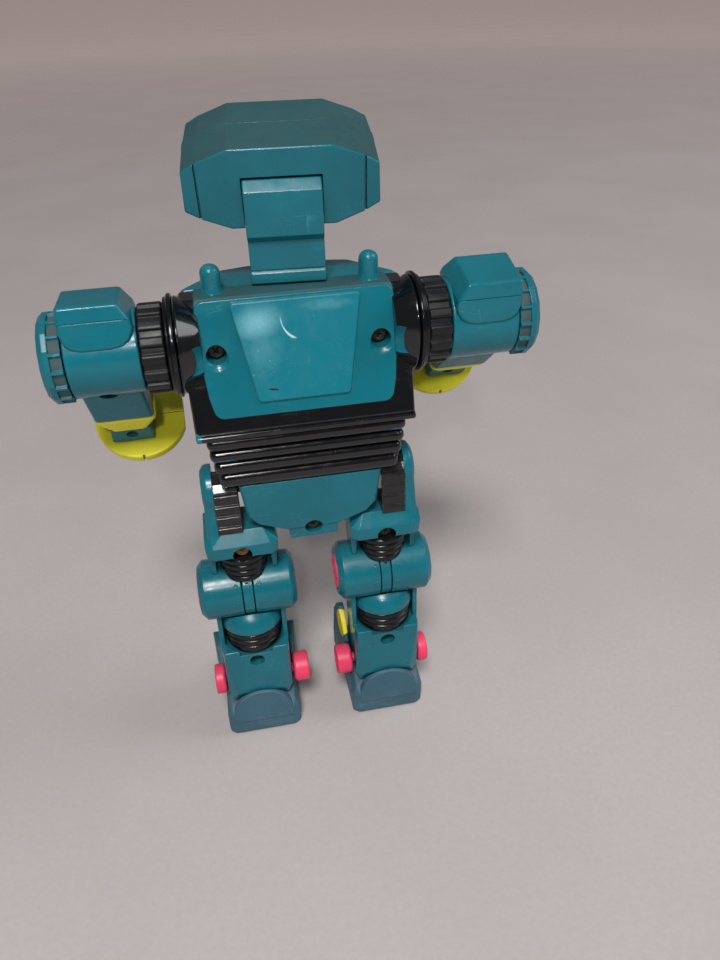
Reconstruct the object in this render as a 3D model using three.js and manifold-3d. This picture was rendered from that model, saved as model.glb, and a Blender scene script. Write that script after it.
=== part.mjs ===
// Toy robot action figure, 188 mm tall, millimetres, +Z up.
// Origin on the floor at the middle of the overall length and width.
// The front of the robot faces -Y and its left arm is at +X.
// Pieces are drawn in a working frame with the soles at SOLE_Z; the group is then moved
// to the origin. Paired pieces are drawn on the left and mirrored to the right.
import * as THREE from 'three';
import { mergeVertices } from 'three/addons/utils/BufferGeometryUtils.js';
import { ConvexGeometry } from 'three/addons/geometries/ConvexGeometry.js';
import Module from 'manifold-3d';

const wasm = await Module();
wasm.setup();

// ---------- shared dimensions (mm, degrees) ----------
const SIDES = [['left', 1], ['right', -1]];
const GAP = 0.3;                    // clearance between neighbouring pieces
const SOLE_Z = 3.0;                 // height of the soles in the working frame
const MID_Y = -22.055;              // middle of the overall depth in the working frame

// Screws run along Y with their heads to the rear
const SCREW_X = 20.75;              // half distance between the torso screws
const SCREW_Z = 139.5;              // height of the torso screws
const HEAD_R = 2.1;                 // screw head radius
const BORE_R = 2.55;                // screw counterbore radius
const PILOT_R = 1.25;               // hole the screw tip bites into

const TORSO_BOTTOM = 118.6;
const DECK_Z = 152.4;               // top of the torso
const TORSO_SPLIT_Y = -13;
const HALF_BOTTOM = 28.6;           // torso half width at the bottom
const HALF_TOP = 29.4;              // torso half width at the top
const WAIST_Y = -5.5;               // waist swivel axis
const NECK_Y = -14.5;               // neck swivel axis

const SHOULDER_Y = -5.6;
const SHOULDER_Z = 140.8;
const SHAFT_R = 2.2;                // shoulder shaft radius
const FOREARM_DROP = { left: 54, right: 38 };  // below level, pointing forward
const POD_LEAN = { left: 30, right: 0 };       // forward lean of the ankle guards

const FINISHES = {
  teal: { color: 0x17717c, roughness: 0.32, metalness: 0 },
  black: { color: 0x15161a, roughness: 0.25, metalness: 0 },
  yellow: { color: 0xd2cc3c, roughness: 0.4, metalness: 0 },
  pink: { color: 0xdc3f62, roughness: 0.4, metalness: 0 },
  boot: { color: 0x35616f, roughness: 0.55, metalness: 0 },
  steel: { color: 0x6b655c, roughness: 0.6, metalness: 0.8 },
  smoke: { color: 0x0d1216, roughness: 0.12, metalness: 0 },
};

// ---------- solids and meshes ----------
const WELD = 1e-4;                  // vertices closer than this are joined
const FAR = 300;                    // beyond every piece

function solid(geometry) {
  geometry.deleteAttribute('normal');
  geometry.deleteAttribute('uv');
  const welded = mergeVertices(geometry, WELD);
  const index = welded.index.array;
  const triangles = [];
  for (let i = 0; i < index.length; i += 3) {
    const [a, b, c] = index.slice(i, i + 3);
    if (a !== b && b !== c && a !== c) triangles.push(a, b, c);
  }
  return new wasm.Manifold(new wasm.Mesh({
    numProp: 3,
    vertProperties: new Float32Array(welded.attributes.position.array),
    triVerts: new Uint32Array(triangles),
  }));
}

function geometryOf(body) {
  const mesh = body.getMesh();
  const indexed = new THREE.BufferGeometry();
  const positions = new Float32Array(mesh.vertProperties);
  indexed.setAttribute('position', new THREE.BufferAttribute(positions, 3));
  indexed.setIndex(new THREE.BufferAttribute(new Uint32Array(mesh.triVerts), 1));
  const flat = indexed.toNonIndexed();
  flat.computeVertexNormals();
  return flat;
}

const root = new THREE.Group();
root.name = 'toy_robot';

function put(name, body, finish) {
  const material = new THREE.MeshStandardMaterial(FINISHES[finish]);
  const mesh = new THREE.Mesh(geometryOf(body), material);
  mesh.name = name;
  root.add(mesh);
}

const union = (...list) => list.reduce((a, b) => a.add(b));
const cut = (body, ...tools) => tools.reduce((a, b) => a.subtract(b), body);
const mirrored = (body, side) => (side > 0 ? body : body.mirror([1, 0, 0]));
const bothSides = (body) => body.add(body.mirror([1, 0, 0]));
// the main piece, without the slivers that two faceted curves leave where they cross
const largest = (body) => body.decompose().sort((a, b) => b.volume() - a.volume())[0];

// ---------- boxes and hulls ----------
function box(x0, x1, y0, y1, z0, z1) {
  const geometry = new THREE.BoxGeometry(x1 - x0, y1 - y0, z1 - z0);
  geometry.translate((x0 + x1) / 2, (y0 + y1) / 2, (z0 + z1) / 2);
  return solid(geometry);
}
const wideBox = (half, y0, y1, z0, z1, x = 0) => box(x - half, x + half, y0, y1, z0, z1);
const rearHalf = (body, y) => body.intersect(wideBox(FAR, y + GAP / 2, FAR, -FAR, FAR));
const frontHalf = (body, y) => body.intersect(wideBox(FAR, -FAR, y - GAP / 2, -FAR, FAR));

const hull = (points) => solid(new ConvexGeometry(points.map((p) => new THREE.Vector3(...p))));

// The next four turn table rows into hull points.
// rows [x0, x1, y, z]
const spans = (rows) => rows.flatMap(([x0, x1, y, z]) => [[x0, y, z], [x1, y, z]]);
// rows [half width, y, z]
const wide = (rows, centre = 0) => spans(
  rows.map(([half, y, z]) => [centre - half, centre + half, y, z]));
// rows [x, y0, y1, z]
const deep = (rows) => rows.flatMap(([x, y0, y1, z]) => [[x, y0, z], [x, y1, z]]);
// rows [half width, half depth, z]
const quads = (rows, centre) => wide(
  rows.flatMap(([halfX, halfY, z]) => [[halfX, halfY, z], [halfX, -halfY, z]]), centre);

// outline [x, z] from its points at +x
const symmetric = (half) => half.flatMap(([x, z]) => [[x, z], [-x, z]]);
const scaled = (outline, midZ, kx, kz = kx) => outline.map(
  ([x, z]) => [x * kx, midZ + (z - midZ) * kz]);
// hull through layers [y, outline of [x, z]]
const loftY = (layers) => hull(
  layers.flatMap(([y, outline]) => outline.map(([x, z]) => [x, y, z])));
const prismY = (outline, y0, y1) => loftY([[y0, outline], [y1, outline]]);
const prismX = (outline, x0, x1) => hull(spans(outline.map(([y, z]) => [x0, x1, y, z])));
const prismZ = (outline, z0, z1) => hull(
  outline.flatMap(([x, y]) => [[x, y, z0], [x, y, z1]]));

// ---------- turned bodies ----------
// profile: [radius, distance along the axis], from the axis back to the axis
function turned(profile, facets) {
  const outline = profile.map(([radius, along]) => new THREE.Vector2(radius, along));
  const lathe = new THREE.LatheGeometry(outline, facets);
  const body = solid(lathe);
  if (body.volume() > 0) return body;
  lathe.index.array.reverse();      // the profile ran downwards: turn the faces outward
  return solid(lathe);
}
const turnedX = (profile, y, z, facets = 14) => (
  turned(profile, facets).rotate([0, 0, -90]).translate([0, y, z]));
const turnedY = (profile, x, z, facets = 14) => turned(profile, facets).translate([x, 0, z]);
const turnedZ = (profile, x, y, facets = 14) => (
  turned(profile, facets).rotate([90, 0, 0]).translate([x, y, 0]));

const rod = (r, from, to) => [[0, from], [r, from], [r, to], [0, to]];
const cylX = (r, x0, x1, y, z, facets = 14) => turnedX(rod(r, x0, x1), y, z, facets);
const cylY = (r, y0, y1, x, z, facets = 10) => turnedY(rod(r, y0, y1), x, z, facets);
const cylZ = (r, z0, z1, x, y, facets = 12) => turnedZ(rod(r, z0, z1), x, y, facets);

// disc on the shoulder axis with teeth round its rim; duty is the crest's share of the pitch
function toothedDisc({ outer, root: inner, duty, x0, x1 }) {
  const TEETH = 16, FLANK = 0.08, ROOT_END = 0.92;
  const pitch = (2 * Math.PI) / TEETH;
  const corners = [[outer, 0], [outer, duty], [inner, duty + FLANK], [inner, ROOT_END]];
  const points = [];
  for (let i = 0; i < TEETH; i++) {
    for (const [radius, share] of corners) {
      const angle = (i + share) * pitch;
      points.push(new THREE.Vector2(radius * Math.cos(angle), radius * Math.sin(angle)));
    }
  }
  const options = { depth: x1 - x0, bevelEnabled: false };
  const geometry = new THREE.ExtrudeGeometry(new THREE.Shape(points), options);
  return solid(geometry).rotate([90, 0, 90]).translate([x0, SHOULDER_Y, SHOULDER_Z]);
}

// screw with its head face at y = 0, looking towards +Y
const screw = (length) => turnedY([
  [0, 0], [HEAD_R, 0], [HEAD_R, -1.4], [1.1, -1.9], [1.1, -length], [0, -length - 0.8],
], 0, 0, 10);
// counterbore from the rear down to y = floor, and a through hole on to y = tip
const screwHole = ({ x, z, floor, tip, bore = BORE_R, hole = 1.5 }) => union(
  cylY(bore, floor, 20, x, z), cylY(hole, tip, 20, x, z));

// ================= TORSO =================
const WALL = 2.2;
const RIM_DROP = 2;                 // bevel round the deck
const RIM_INSET = 1.5;
const BACK_LEAN = 0.312;            // the back leans forward: dY = -lean * dZ
const BACK_NORMAL = { y: 0.955, z: 0.298 };
const REAR_EDGE = TORSO_SPLIT_Y + GAP / 2;
const FRONT_EDGE = TORSO_SPLIT_Y - GAP / 2;
const FLOOR_IN = TORSO_BOTTOM + WALL;
const CEILING_IN = DECK_Z - WALL;
const PEG = { x: 19.8, y: -9.6, r: 2.5, base: 148, top: 159.3 };  // on the deck
const LENS_Z = 140.2;
const CHEST_MID_Z = 137.5;
// [x, z]
const CHEST_OUTLINE = symmetric([[12.5, 129], [15.5, 133], [13, 146]]);

// on the back, [half width, height from the screws, height off the surface]
const BACK_PANEL = [
  [24.6, 13.2, -0.6], [22.9, -15.8, -0.6], [24.2, -12.5, -0.6],
  [24.2, 12.6, 0.5], [22.4, -15.2, 0.5], [23.8, -12.2, 0.5],
];
const BACK_PLATE = [[16.4, 11.6, -0.5], [11.6, -12.2, -0.5], [15.8, 11.0, 1.2], [11.0, -11.6, 1.2]];

// [half width, y, z]
const FRONT_OUTER = [
  [HALF_BOTTOM, FRONT_EDGE, TORSO_BOTTOM],
  [HALF_TOP, FRONT_EDGE, DECK_Z - RIM_DROP],
  [HALF_TOP - RIM_INSET, FRONT_EDGE, DECK_Z],
  [24.5, -19.5, TORSO_BOTTOM], [19, -19.5, DECK_Z],
  [17.2, -27, DECK_Z - 0.6], [9.5, -29.8, DECK_Z - 0.9],
  [22, -25.5, TORSO_BOTTOM], [18, -28, TORSO_BOTTOM],
  [22.5, -28.5, 144], [12, -33.2, 143.5], [12, -30.5, 126],
];
const FRONT_CAVITY = [
  [HALF_BOTTOM - WALL, FRONT_EDGE + 1, FLOOR_IN], [HALF_TOP - WALL, FRONT_EDGE + 1, CEILING_IN],
  [22.3, -18.8, FLOOR_IN], [16.8, -18.6, CEILING_IN],
  [9, -26, DECK_Z - 2.6], [16, -25.6, FLOOR_IN], [20, -25.8, 143], [11, -27.4, 143],
];

const backY = (z) => -BACK_LEAN * (z - SCREW_Z);
const onBack = (rows) => hull(wide(rows.map(([half, up, off]) => [
  half,
  backY(SCREW_Z + up) + BACK_NORMAL.y * off,
  SCREW_Z + up + BACK_NORMAL.z * off,
])));

const shaftBore = () => cylX(SHAFT_R + GAP, 24, 36, SHOULDER_Y, SHOULDER_Z, 10);
const neckSocket = () => cylZ(4.4, DECK_Z - 6, DECK_Z + 4, 0, NECK_Y);

// root of the left shoulder, widening from the side wall out to the collar
function shoulderFlare() {
  const profile = [[0, 24.2], [9.3, 24.2], [12.2, 29.2], [12.2, HALF_TOP], [0, HALF_TOP]];
  return turnedX(profile, SHOULDER_Y, SHOULDER_Z, 18)
    .intersect(box(20, 31, REAR_EDGE, 20, 100, 170));
}

function deckPeg() {
  return turnedZ([
    [0, PEG.base], [PEG.r, PEG.base], [PEG.r, PEG.top - 2.3],
    [2.1, PEG.top - 1.0], [1.25, PEG.top - 0.25], [0, PEG.top],
  ], PEG.x, PEG.y, 10);
}

function torsoRear() {
  const rimZ = DECK_Z - RIM_DROP;
  const rimHalf = HALF_TOP - RIM_INSET;
  const outer = hull(wide([
    [HALF_BOTTOM, backY(TORSO_BOTTOM), TORSO_BOTTOM],
    [HALF_BOTTOM, backY(TORSO_BOTTOM) - 0.4, TORSO_BOTTOM + 2.2],
    [HALF_TOP, backY(rimZ), rimZ],
    [rimHalf, backY(DECK_Z) - 0.6, DECK_Z],
    [HALF_BOTTOM, REAR_EDGE, TORSO_BOTTOM],
    [HALF_TOP, REAR_EDGE, rimZ],
    [rimHalf, REAR_EDGE, DECK_Z],
  ]));
  const cavity = hull(wide([
    [HALF_BOTTOM - WALL, backY(FLOOR_IN) - WALL, FLOOR_IN],
    [HALF_TOP - WALL, backY(CEILING_IN) - WALL - 0.5, CEILING_IN],
    [HALF_BOTTOM - WALL, TORSO_SPLIT_Y - 1, FLOOR_IN],
    [HALF_TOP - WALL, TORSO_SPLIT_Y - 1, CEILING_IN],
  ]));
  const screwBoss = cylY(4.1, REAR_EDGE, -1, SCREW_X, SCREW_Z);
  const shaftEndRecess = cylX(3.6, 24.6, 26.4, SHOULDER_Y, SHOULDER_Z, 10);
  const body = union(
    cut(outer, cavity), onBack(BACK_PLATE), onBack(BACK_PANEL),
    bothSides(deckPeg()), bothSides(screwBoss), bothSides(shoulderFlare()));
  return cut(
    body,
    bothSides(screwHole({ x: SCREW_X, z: SCREW_Z, floor: -5.2, tip: -20 })),
    bothSides(shaftBore()),
    bothSides(shaftEndRecess),
    neckSocket(),
    cylZ(6.4, TORSO_BOTTOM - 3, TORSO_BOTTOM + 5, 0, WAIST_Y));
}

// the deck narrows towards the chest, which is recessed for the chest plate
function torsoFront() {
  const screwBoss = cylY(3.6, -24, FRONT_EDGE, SCREW_X, SCREW_Z);
  const pilot = cylY(PILOT_R, -22.5, -10, SCREW_X, SCREW_Z);
  const body = union(cut(hull(wide(FRONT_OUTER)), hull(wide(FRONT_CAVITY))), bothSides(screwBoss));
  return cut(body, prismY(CHEST_OUTLINE, -40, -28.6), bothSides(pilot), neckSocket());
}

// chest plate with a round lens window and three vent slots
function chestPlate() {
  const SLOT = { half: 7, bottom: 130.4, pitch: 1.9, height: 1 };
  const rim = scaled(CHEST_OUTLINE, CHEST_MID_Z, 0.965);
  const face = scaled(CHEST_OUTLINE, CHEST_MID_Z, 0.84);
  let plate = loftY([[-28.9, rim], [-31.6, rim], [-33.4, face]]);
  plate = cut(plate, cylY(4.3, -40, -31.2, 0, LENS_Z, 12));
  for (let i = 0; i < 3; i++) {
    const z = SLOT.bottom + i * SLOT.pitch;
    plate = cut(plate, wideBox(SLOT.half, -40, -32.4, z, z + SLOT.height));
  }
  return plate;
}

const chestLens = () => turnedY(
  [[0, -31.5], [4.0, -31.5], [4.0, -33.2], [2.6, -34.2], [0, -34.6]], 0, LENS_Z, 12);

// stepped collar with a round bore for the shoulder shaft
function shoulderCollar() {
  const rimR = 12.9;
  const stepR = 12.1;
  const x0 = HALF_TOP + GAP;
  const x1 = 32.1;
  const body = turnedX([
    [0, x0], [rimR - 0.4, x0], [rimR, x0 + 0.5], [rimR, x0 + 1.5],
    [stepR, x0 + 1.9], [stepR, x1 - 0.3], [stepR - 0.4, x1], [0, x1],
  ], SHOULDER_Y, SHOULDER_Z, 18);
  return cut(body, shaftBore());
}

put('torso_rear_shell', torsoRear(), 'teal');
put('torso_front_shell', torsoFront(), 'teal');
put('chest_plate', chestPlate(), 'black');
put('chest_lens', chestLens(), 'pink');
for (const [name, side] of SIDES) {
  put(`torso_screw_${name}`, screw(13.2).translate([side * SCREW_X, -2.9, SCREW_Z]), 'steel');
  put(`shoulder_collar_${name}`, mirrored(shoulderCollar(), side), 'black');
}

// ================= ARMS =================
// The drum and dial are drawn in place. The rest is drawn with the shoulder axis through
// the origin, the forearm hanging along -Z and its underside at +Y, then tilted.
const DRUM = { r: 11.2, x0: 32.4, x1: 38.2 };
const BARREL = { r: 10.5, x0: DRUM.x1 + GAP, x1: 55.8 };
const DIAL_R = 11.3;
const DIAL_X1 = 61.4;
const BLOCK_DROP = 52;              // forearm drop at which the shoulder block stands level
const FOREARM_X = 47.0;
const NECK_HALF_X = 3.8;            // neck of the forearm that carries the cuff
const NECK_HALF_Y = 4.8;
const ARM_SCREW = { x: 48.4, y: 7.8, z: -5.2 };
const WRIST_R = 2.2;                // wrist stem radius
const GUARD_R = 13.0;
const GUARD_X = 44.8;

// [x, rear y, front y, z], from the top down
const SHOULDER_BLOCK = [
  [42.2, 6.8, -5.4, 14.5], [55.6, 6.8, -5.4, 14.5],
  [41.8, 7.4, -6.2, 13.9], [55.8, 7.4, -6.2, 13.9],
  [39.3, 8.0, -7.6, 10.4], [56.0, 8.4, -7.8, 10.4],
  [39.0, 8.6, -8.6, 8.6], [56.0, 8.9, -8.9, 8.6],
  [40.2, 9.4, -9.4, 6.8], [55.0, 9.4, -9.4, 6.8],
  [42.2, 9.7, -9.7, 5.5], [53.2, 9.7, -9.7, 5.5],
  [45.0, 9.9, -9.9, 4.9], [50.6, 9.9, -9.9, 4.9],
  [41, 6, -6, 2], [54, 6, -6, 2],
];
// [x from FOREARM_X, half depth, z]
const SLEEVE = [
  [-6.7, 8.4, -2], [8.2, 8.4, -2], [-6.7, 8.0, -12.2],
  [-7.0, 9.3, -19.2], [7.0, 9.3, -19.2], [-8.3, 8.0, -19.2], [8.3, 8.0, -19.2],
  [-6.6, 9.0, -19.8], [6.6, 9.0, -19.8],
];

// fluted drum with its shaft running into the torso and a stub into the barrel
function shoulderDrum() {
  const shoulderCyl = (r, x0, x1) => cylX(r, x0, x1, SHOULDER_Y, SHOULDER_Z, 10);
  return union(
    toothedDisc({ outer: DRUM.r, root: DRUM.r - 1.0, duty: 0.58, x0: DRUM.x0, x1: DRUM.x1 }),
    shoulderCyl(SHAFT_R, 25.6, DRUM.x0 + 0.2),
    shoulderCyl(3.2, 25.0, 26.1),
    shoulderCyl(3.6, DRUM.x1 - 0.2, 52));
}

function armShell() {
  const block = cut(
    hull(deep(SHOULDER_BLOCK)),
    cylX(DIAL_R + 0.5, BARREL.x1, 70, 0, 0, 16)).rotate([90 - BLOCK_DROP, 0, 0]);
  const sleeve = hull(deep(SLEEVE.map(([dx, half, z]) => [FOREARM_X + dx, half, -half, z])));
  const shell = union(
    cylX(BARREL.r, BARREL.x0, BARREL.x1, 0, 0, 20),
    block,
    sleeve,
    wideBox(NECK_HALF_X, -NECK_HALF_Y, NECK_HALF_Y, -28, -19, FOREARM_X));
  return cut(
    shell,
    cylX(3.6 + GAP, 37, 52.3, 0, 0, 12),         // bore for the drum stub
    cylX(2.3 + GAP, 50, 58, 0, 0, 10),           // bore for the dial stub
    screwHole({ x: ARM_SCREW.x, z: ARM_SCREW.z, floor: 6.0, tip: -4 }),
    cylZ(WRIST_R + GAP, -32, -22, FOREARM_X, 0, 10));
}

// knurled dial on the outer end
function shoulderDial() {
  const x0 = BARREL.x1 + GAP;
  const cap = turnedX([
    [0, 58.7], [DIAL_R, 58.7], [DIAL_R, DIAL_X1 - 1.2], [DIAL_R - 1.1, DIAL_X1],
    [DIAL_R - 3.4, DIAL_X1], [DIAL_R - 4.0, DIAL_X1 - 0.8], [0, DIAL_X1 - 0.8],
  ], SHOULDER_Y, SHOULDER_Z, 16);
  return union(
    toothedDisc({ outer: DIAL_R - 0.1, root: DIAL_R - 0.8, duty: 0.3, x0, x1: 58.9 }),
    cap,
    cylX(2.3, 52.6, BARREL.x1 + 1, SHOULDER_Y, SHOULDER_Z, 10));
}

// ribbed cuff: four stacked collars getting smaller towards the hand
function forearmCuff() {
  const ribs = [0, 1, 2, 3].map((i) => {
    const halfX = 8.1 - i * 0.95;
    const halfY = 9.0 - i * 0.3;
    const top = -20.1 - i * 2.1;
    const bottom = top - 2.15;
    const girdle = (z) => [[halfX, halfY - 1.4, z], [halfX - 1.4, halfY, z]];
    const edge = (z) => [halfX - 0.8, halfY - 1.8, z];
    const rows = [...girdle(top - 0.4), ...girdle(bottom + 0.4), edge(top), edge(bottom)];
    return hull(quads(rows, FOREARM_X));
  });
  const holeY = NECK_HALF_Y + GAP;
  return cut(union(...ribs), wideBox(NECK_HALF_X + GAP, -holeY, holeY, -32, -15, FOREARM_X));
}

// the wrist block, guard and hand turn together on the wrist stem
const wristBlock = () => union(
  hull(quads([[5.4, 7.0, -29.0], [6.0, 7.8, -35.8]], FOREARM_X)),
  cylZ(WRIST_R, -29.5, -23, FOREARM_X, 0, 10),
  cylZ(3.6, -42, -35.6, FOREARM_X, 0, 10));

// disc with a flat inner edge and a small notch in the rim at each side
function handGuard() {
  const disc = turnedZ([
    [0, -39.4], [GUARD_R - 0.7, -39.4], [GUARD_R, -38.8],
    [GUARD_R, -36.8], [GUARD_R - 0.5, -36.2], [0, -36.2],
  ], GUARD_X, 0, 20).intersect(box(32.6, 70, -20, 20, -44, -30));
  const notches = [GUARD_R, -GUARD_R].map(
    (y) => wideBox(0.4, y - 0.6, y + 0.6, -44, -30, GUARD_X));
  return cut(disc, cylZ(3.6 + GAP, -44, -30, FOREARM_X, 0, 10), ...notches);
}

// open C-shaped grip
function hand() {
  const body = union(
    wideBox(4.6, -5.6, 5.6, -47, -42.3, FOREARM_X),
    cylY(5.8, -5.4, 5.4, FOREARM_X, -48.4, 12));
  const mouth = hull(quads([[1.2, 9, -49.5], [3.2, 9, -60]], FOREARM_X));
  return cut(body, cylY(2.9, -9, 9, FOREARM_X, -48.9), mouth);
}

for (const [name, side] of SIDES) {
  const tilted = (body) => mirrored(
    body.rotate([FOREARM_DROP[name] - 90, 0, 0]).translate([0, SHOULDER_Y, SHOULDER_Z]), side);
  const shell = armShell();
  const armScrew = screw(8.6).translate([ARM_SCREW.x, ARM_SCREW.y, ARM_SCREW.z]);
  put(`shoulder_drum_${name}`, mirrored(shoulderDrum(), side), 'black');
  put(`arm_rear_shell_${name}`, tilted(rearHalf(shell, 0)), 'teal');
  put(`arm_front_shell_${name}`, tilted(frontHalf(shell, 0)), 'teal');
  put(`arm_screw_${name}`, tilted(armScrew), 'steel');
  put(`shoulder_dial_${name}`, mirrored(shoulderDial(), side), 'teal');
  put(`forearm_cuff_${name}`, tilted(forearmCuff()), 'yellow');
  put(`wrist_block_${name}`, tilted(wristBlock()), 'teal');
  put(`hand_guard_${name}`, tilted(handGuard()), 'yellow');
  put(`hand_${name}`, tilted(hand()), 'teal');
}

// ================= NECK AND HEAD =================
// The head shells are drawn with the back at y = 0 and the top edge at z = 0.
const NECK_HALF = 9.4;
const NOD = { y: -14.8, z: 172.5, r: 1.5 };   // nod pin
const HEAD_TURN = -5.0;             // degrees the head is turned at rest
const HEAD_TILT = 11.7;             // degrees the face looks up at rest
const HEAD_DEPTH = 30.4;
const HEAD_SPLIT_Y = -HEAD_DEPTH * 0.5;
const HEAD_MID_Z = -9.7;
const VISOR_MID_Z = -10;
// [x, z]
const HEAD_OUTLINE = symmetric([
  [12.1, 0], [19.8, -2.8], [23.3, -4.7], [23.6, -14.4], [19.8, -16.6], [12.8, -19.4],
]);
const VISOR_WINDOW = symmetric([[18.5, -6], [20, -9], [17.5, -14]]);

const turnHead = (body) => (
  body.translate([0, -NECK_Y, 0]).rotate([0, 0, HEAD_TURN]).translate([0, NECK_Y, 0]));
const placeHead = (body) => turnHead(body.rotate([-HEAD_TILT, 0, 0]).translate([0, -9.1, 184.7]));
// stations [y, scale of the outline]
const headLoft = (stations) => loftY(
  stations.map(([y, scale]) => [y, scaled(HEAD_OUTLINE, HEAD_MID_Z, scale)]));
const headHollow = () => headLoft([[-2.2, 0.88], [-HEAD_DEPTH + 3.5, 0.88]]);
const nodRod = (r, half) => cylX(r, -half, half, NOD.y, NOD.z, 10);
const neckNotch = () => turnHead(wideBox(NECK_HALF + GAP, -19.2, 0, 150, 178.1));

// flat bracket with a proud upper part, a slimmer middle and a small lip at the bottom
function neckBracket() {
  const frontY = -17.2;
  const upper = [   // [y, z]
    [-8.2, 164.8], [-8.2, 175.2], [-10.2, 177.6], [frontY, 177.6], [frontY, 163.2], [-9.8, 163.2],
  ];
  const lip = [[-9.8, 156], [-9.2, 155.4], [-9.2, 152.9], [frontY, 152.9], [frontY, 156]];
  const body = union(
    prismX(upper, -NECK_HALF, NECK_HALF),
    wideBox(NECK_HALF, frontY, -9.8, 155.8, 163.4),
    prismX(lip, -NECK_HALF, NECK_HALF),
    cylZ(4.0, 147.4, 153.2, 0, NECK_Y),
    cylZ(5.4, 147.2, 149.4, 0, NECK_Y));
  return turnHead(cut(body, nodRod(NOD.r + GAP, 12)));
}

function headRear() {
  const rim = HEAD_SPLIT_Y + GAP / 2;
  // grooves that set off the side panels on the back
  const grooves = bothSides(prismZ([[20.0, 1], [20.6, 1], [20.3, -0.9]], -25, 5));
  const shell = cut(headLoft([[-0.5, 1], [0, 0.985], [rim, 1.012]]), headHollow(), grooves);
  // ears that carry the nod pin, one each side of the bracket
  const ear = box(NECK_HALF + GAP, NECK_HALF + 2.8, -19, -10.4, 168, 180);
  const ears = turnHead(bothSides(ear)).intersect(placeHead(headLoft([[-0.6, 0.98], [rim, 1]])));
  return cut(
    cut(placeHead(shell), neckNotch()).add(ears),
    turnHead(nodRod(NOD.r + GAP, 14)));
}

function headFront() {
  const shell = headLoft([
    [HEAD_SPLIT_Y - GAP / 2, 1.012], [-HEAD_DEPTH + 1.2, 1], [-HEAD_DEPTH, 0.95],
  ]);
  const window = prismY(VISOR_WINDOW, -HEAD_DEPTH - 5, -HEAD_DEPTH + 5);
  return cut(placeHead(cut(shell, headHollow(), window)), neckNotch());
}

function headVisor() {
  const rim = scaled(VISOR_WINDOW, VISOR_MID_Z, 0.975, 0.93);
  const face = scaled(rim, VISOR_MID_Z, 0.9, 0.7);
  return placeHead(loftY([
    [-HEAD_DEPTH + 4.2, rim], [-HEAD_DEPTH + 0.6, rim], [-HEAD_DEPTH - 0.6, face],
  ]));
}

put('neck_bracket', neckBracket(), 'teal');
put('head_rear_shell', headRear(), 'teal');
put('head_front_shell', headFront(), 'teal');
put('head_nod_pin', turnHead(nodRod(NOD.r, 11.8)), 'steel');
put('head_visor', headVisor(), 'smoke');

// ================= WAIST AND PELVIS =================
const HIP_X = 21.0;                 // middle of the leg
const HIP_Y = -5.0;
const HIP_Z = 98.0;
const HIP_AXLE_R = 2.2;
const PELVIS_REAR_EDGE = HIP_Y + GAP / 2;
const PELVIS_FRONT_EDGE = HIP_Y - GAP / 2;
const PELVIS_TOP = 102.6;
const PELVIS_SCREW_Z = 84.9;
const TENON = { half: 17.0, z0: 102.2, z1: 111.4 };  // part of the pelvis inside the waist
// [x, z]
const PELVIS_OUTLINE = symmetric([[19.6, PELVIS_TOP], [18.2, 91.2], [15.4, 88.4], [8.0, 85.2]]);
// [half width, top z, bottom z]
const WAIST_RIBS = [
  [26.4, 118.2, 114.9], [26.0, 114.4, 111.3], [25.3, 110.8, 107.4], [24.4, 106.9, 103.0],
];

function waistRib([half, top, bottom], i) {
  const BEVEL = 0.9;
  const rearY = 5.4 - i * 0.25;
  const frontY = -27.4 + i * 0.6;
  const section = (inset, z) => [
    [half - inset, rearY - 1.4 - inset, z], [half - 1.4 - inset, rearY - inset, z],
    [half - inset, frontY + 4, z], [half - 4 - inset, frontY + inset, z],
  ];
  return hull(wide([
    ...section(BEVEL, top), ...section(0, top - BEVEL),
    ...section(0, bottom + BEVEL), ...section(BEVEL, bottom),
  ]));
}

// four ribs on a narrower core, with the swivel post on top
function waistBellows() {
  const body = union(
    prismZ(symmetric([[24.6, 3.6], [24.6, -24], [20, -26.6]]), 106, 117.6),
    wideBox(22.6, -23, 3.4, 103.0, 106.2),
    ...WAIST_RIBS.map(waistRib),
    cylZ(6.0, 116, 122.4, 0, WAIST_Y));
  return cut(body, wideBox(17.5, -19, -1, 98, 112));
}

const hipBore = (x0, x1) => cylX(HIP_AXLE_R + GAP, x0, x1, HIP_Y, HIP_Z, 10);

// the pelvis shells hold the hip axle between them
function pelvisRear() {
  const edge = PELVIS_REAR_EDGE;
  const back = hull(PELVIS_OUTLINE.flatMap(([x, z]) => {
    const lean = (PELVIS_TOP - z) * 0.09;
    return [
      [x, 3.0 - lean, z],
      [x * 0.96, 3.8 - lean, 95 + (z - 95) * 0.96],
      [x * 0.99, 0.6, z],
    ];
  }));
  const crotch = hull(wide([[7.4, 1.9, 87], [6.7, 1.2, 81.2], [7.4, edge, 87], [6.7, edge, 81.2]]));
  const body = union(
    back,
    wideBox(17.2, edge, 1.4, 92.6, PELVIS_TOP),
    crotch,
    wideBox(6.4, edge, 1.2, 84, 94),
    wideBox(TENON.half, edge, -1.6, TENON.z0, TENON.z1));
  return cut(
    body, hipBore(-40, 40), screwHole({ x: 0, z: PELVIS_SCREW_Z, floor: -2.3, tip: -12 }));
}

function pelvisFront() {
  const edge = PELVIS_FRONT_EDGE;
  const body = union(
    wideBox(17.2, -16, edge, 94, PELVIS_TOP),
    wideBox(6.6, -14.5, edge, 82.5, 96),
    hull(wide([[9.4, -15.5, 102.4], [9.4, -18.6, 101], [5.6, -17, 84.5], [5.6, -13.5, 83.2]])),
    wideBox(TENON.half, -18.4, edge, TENON.z0, TENON.z1));
  return cut(body, hipBore(-40, 40), cylY(PILOT_R, -13, 0, 0, PELVIS_SCREW_Z));
}

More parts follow.
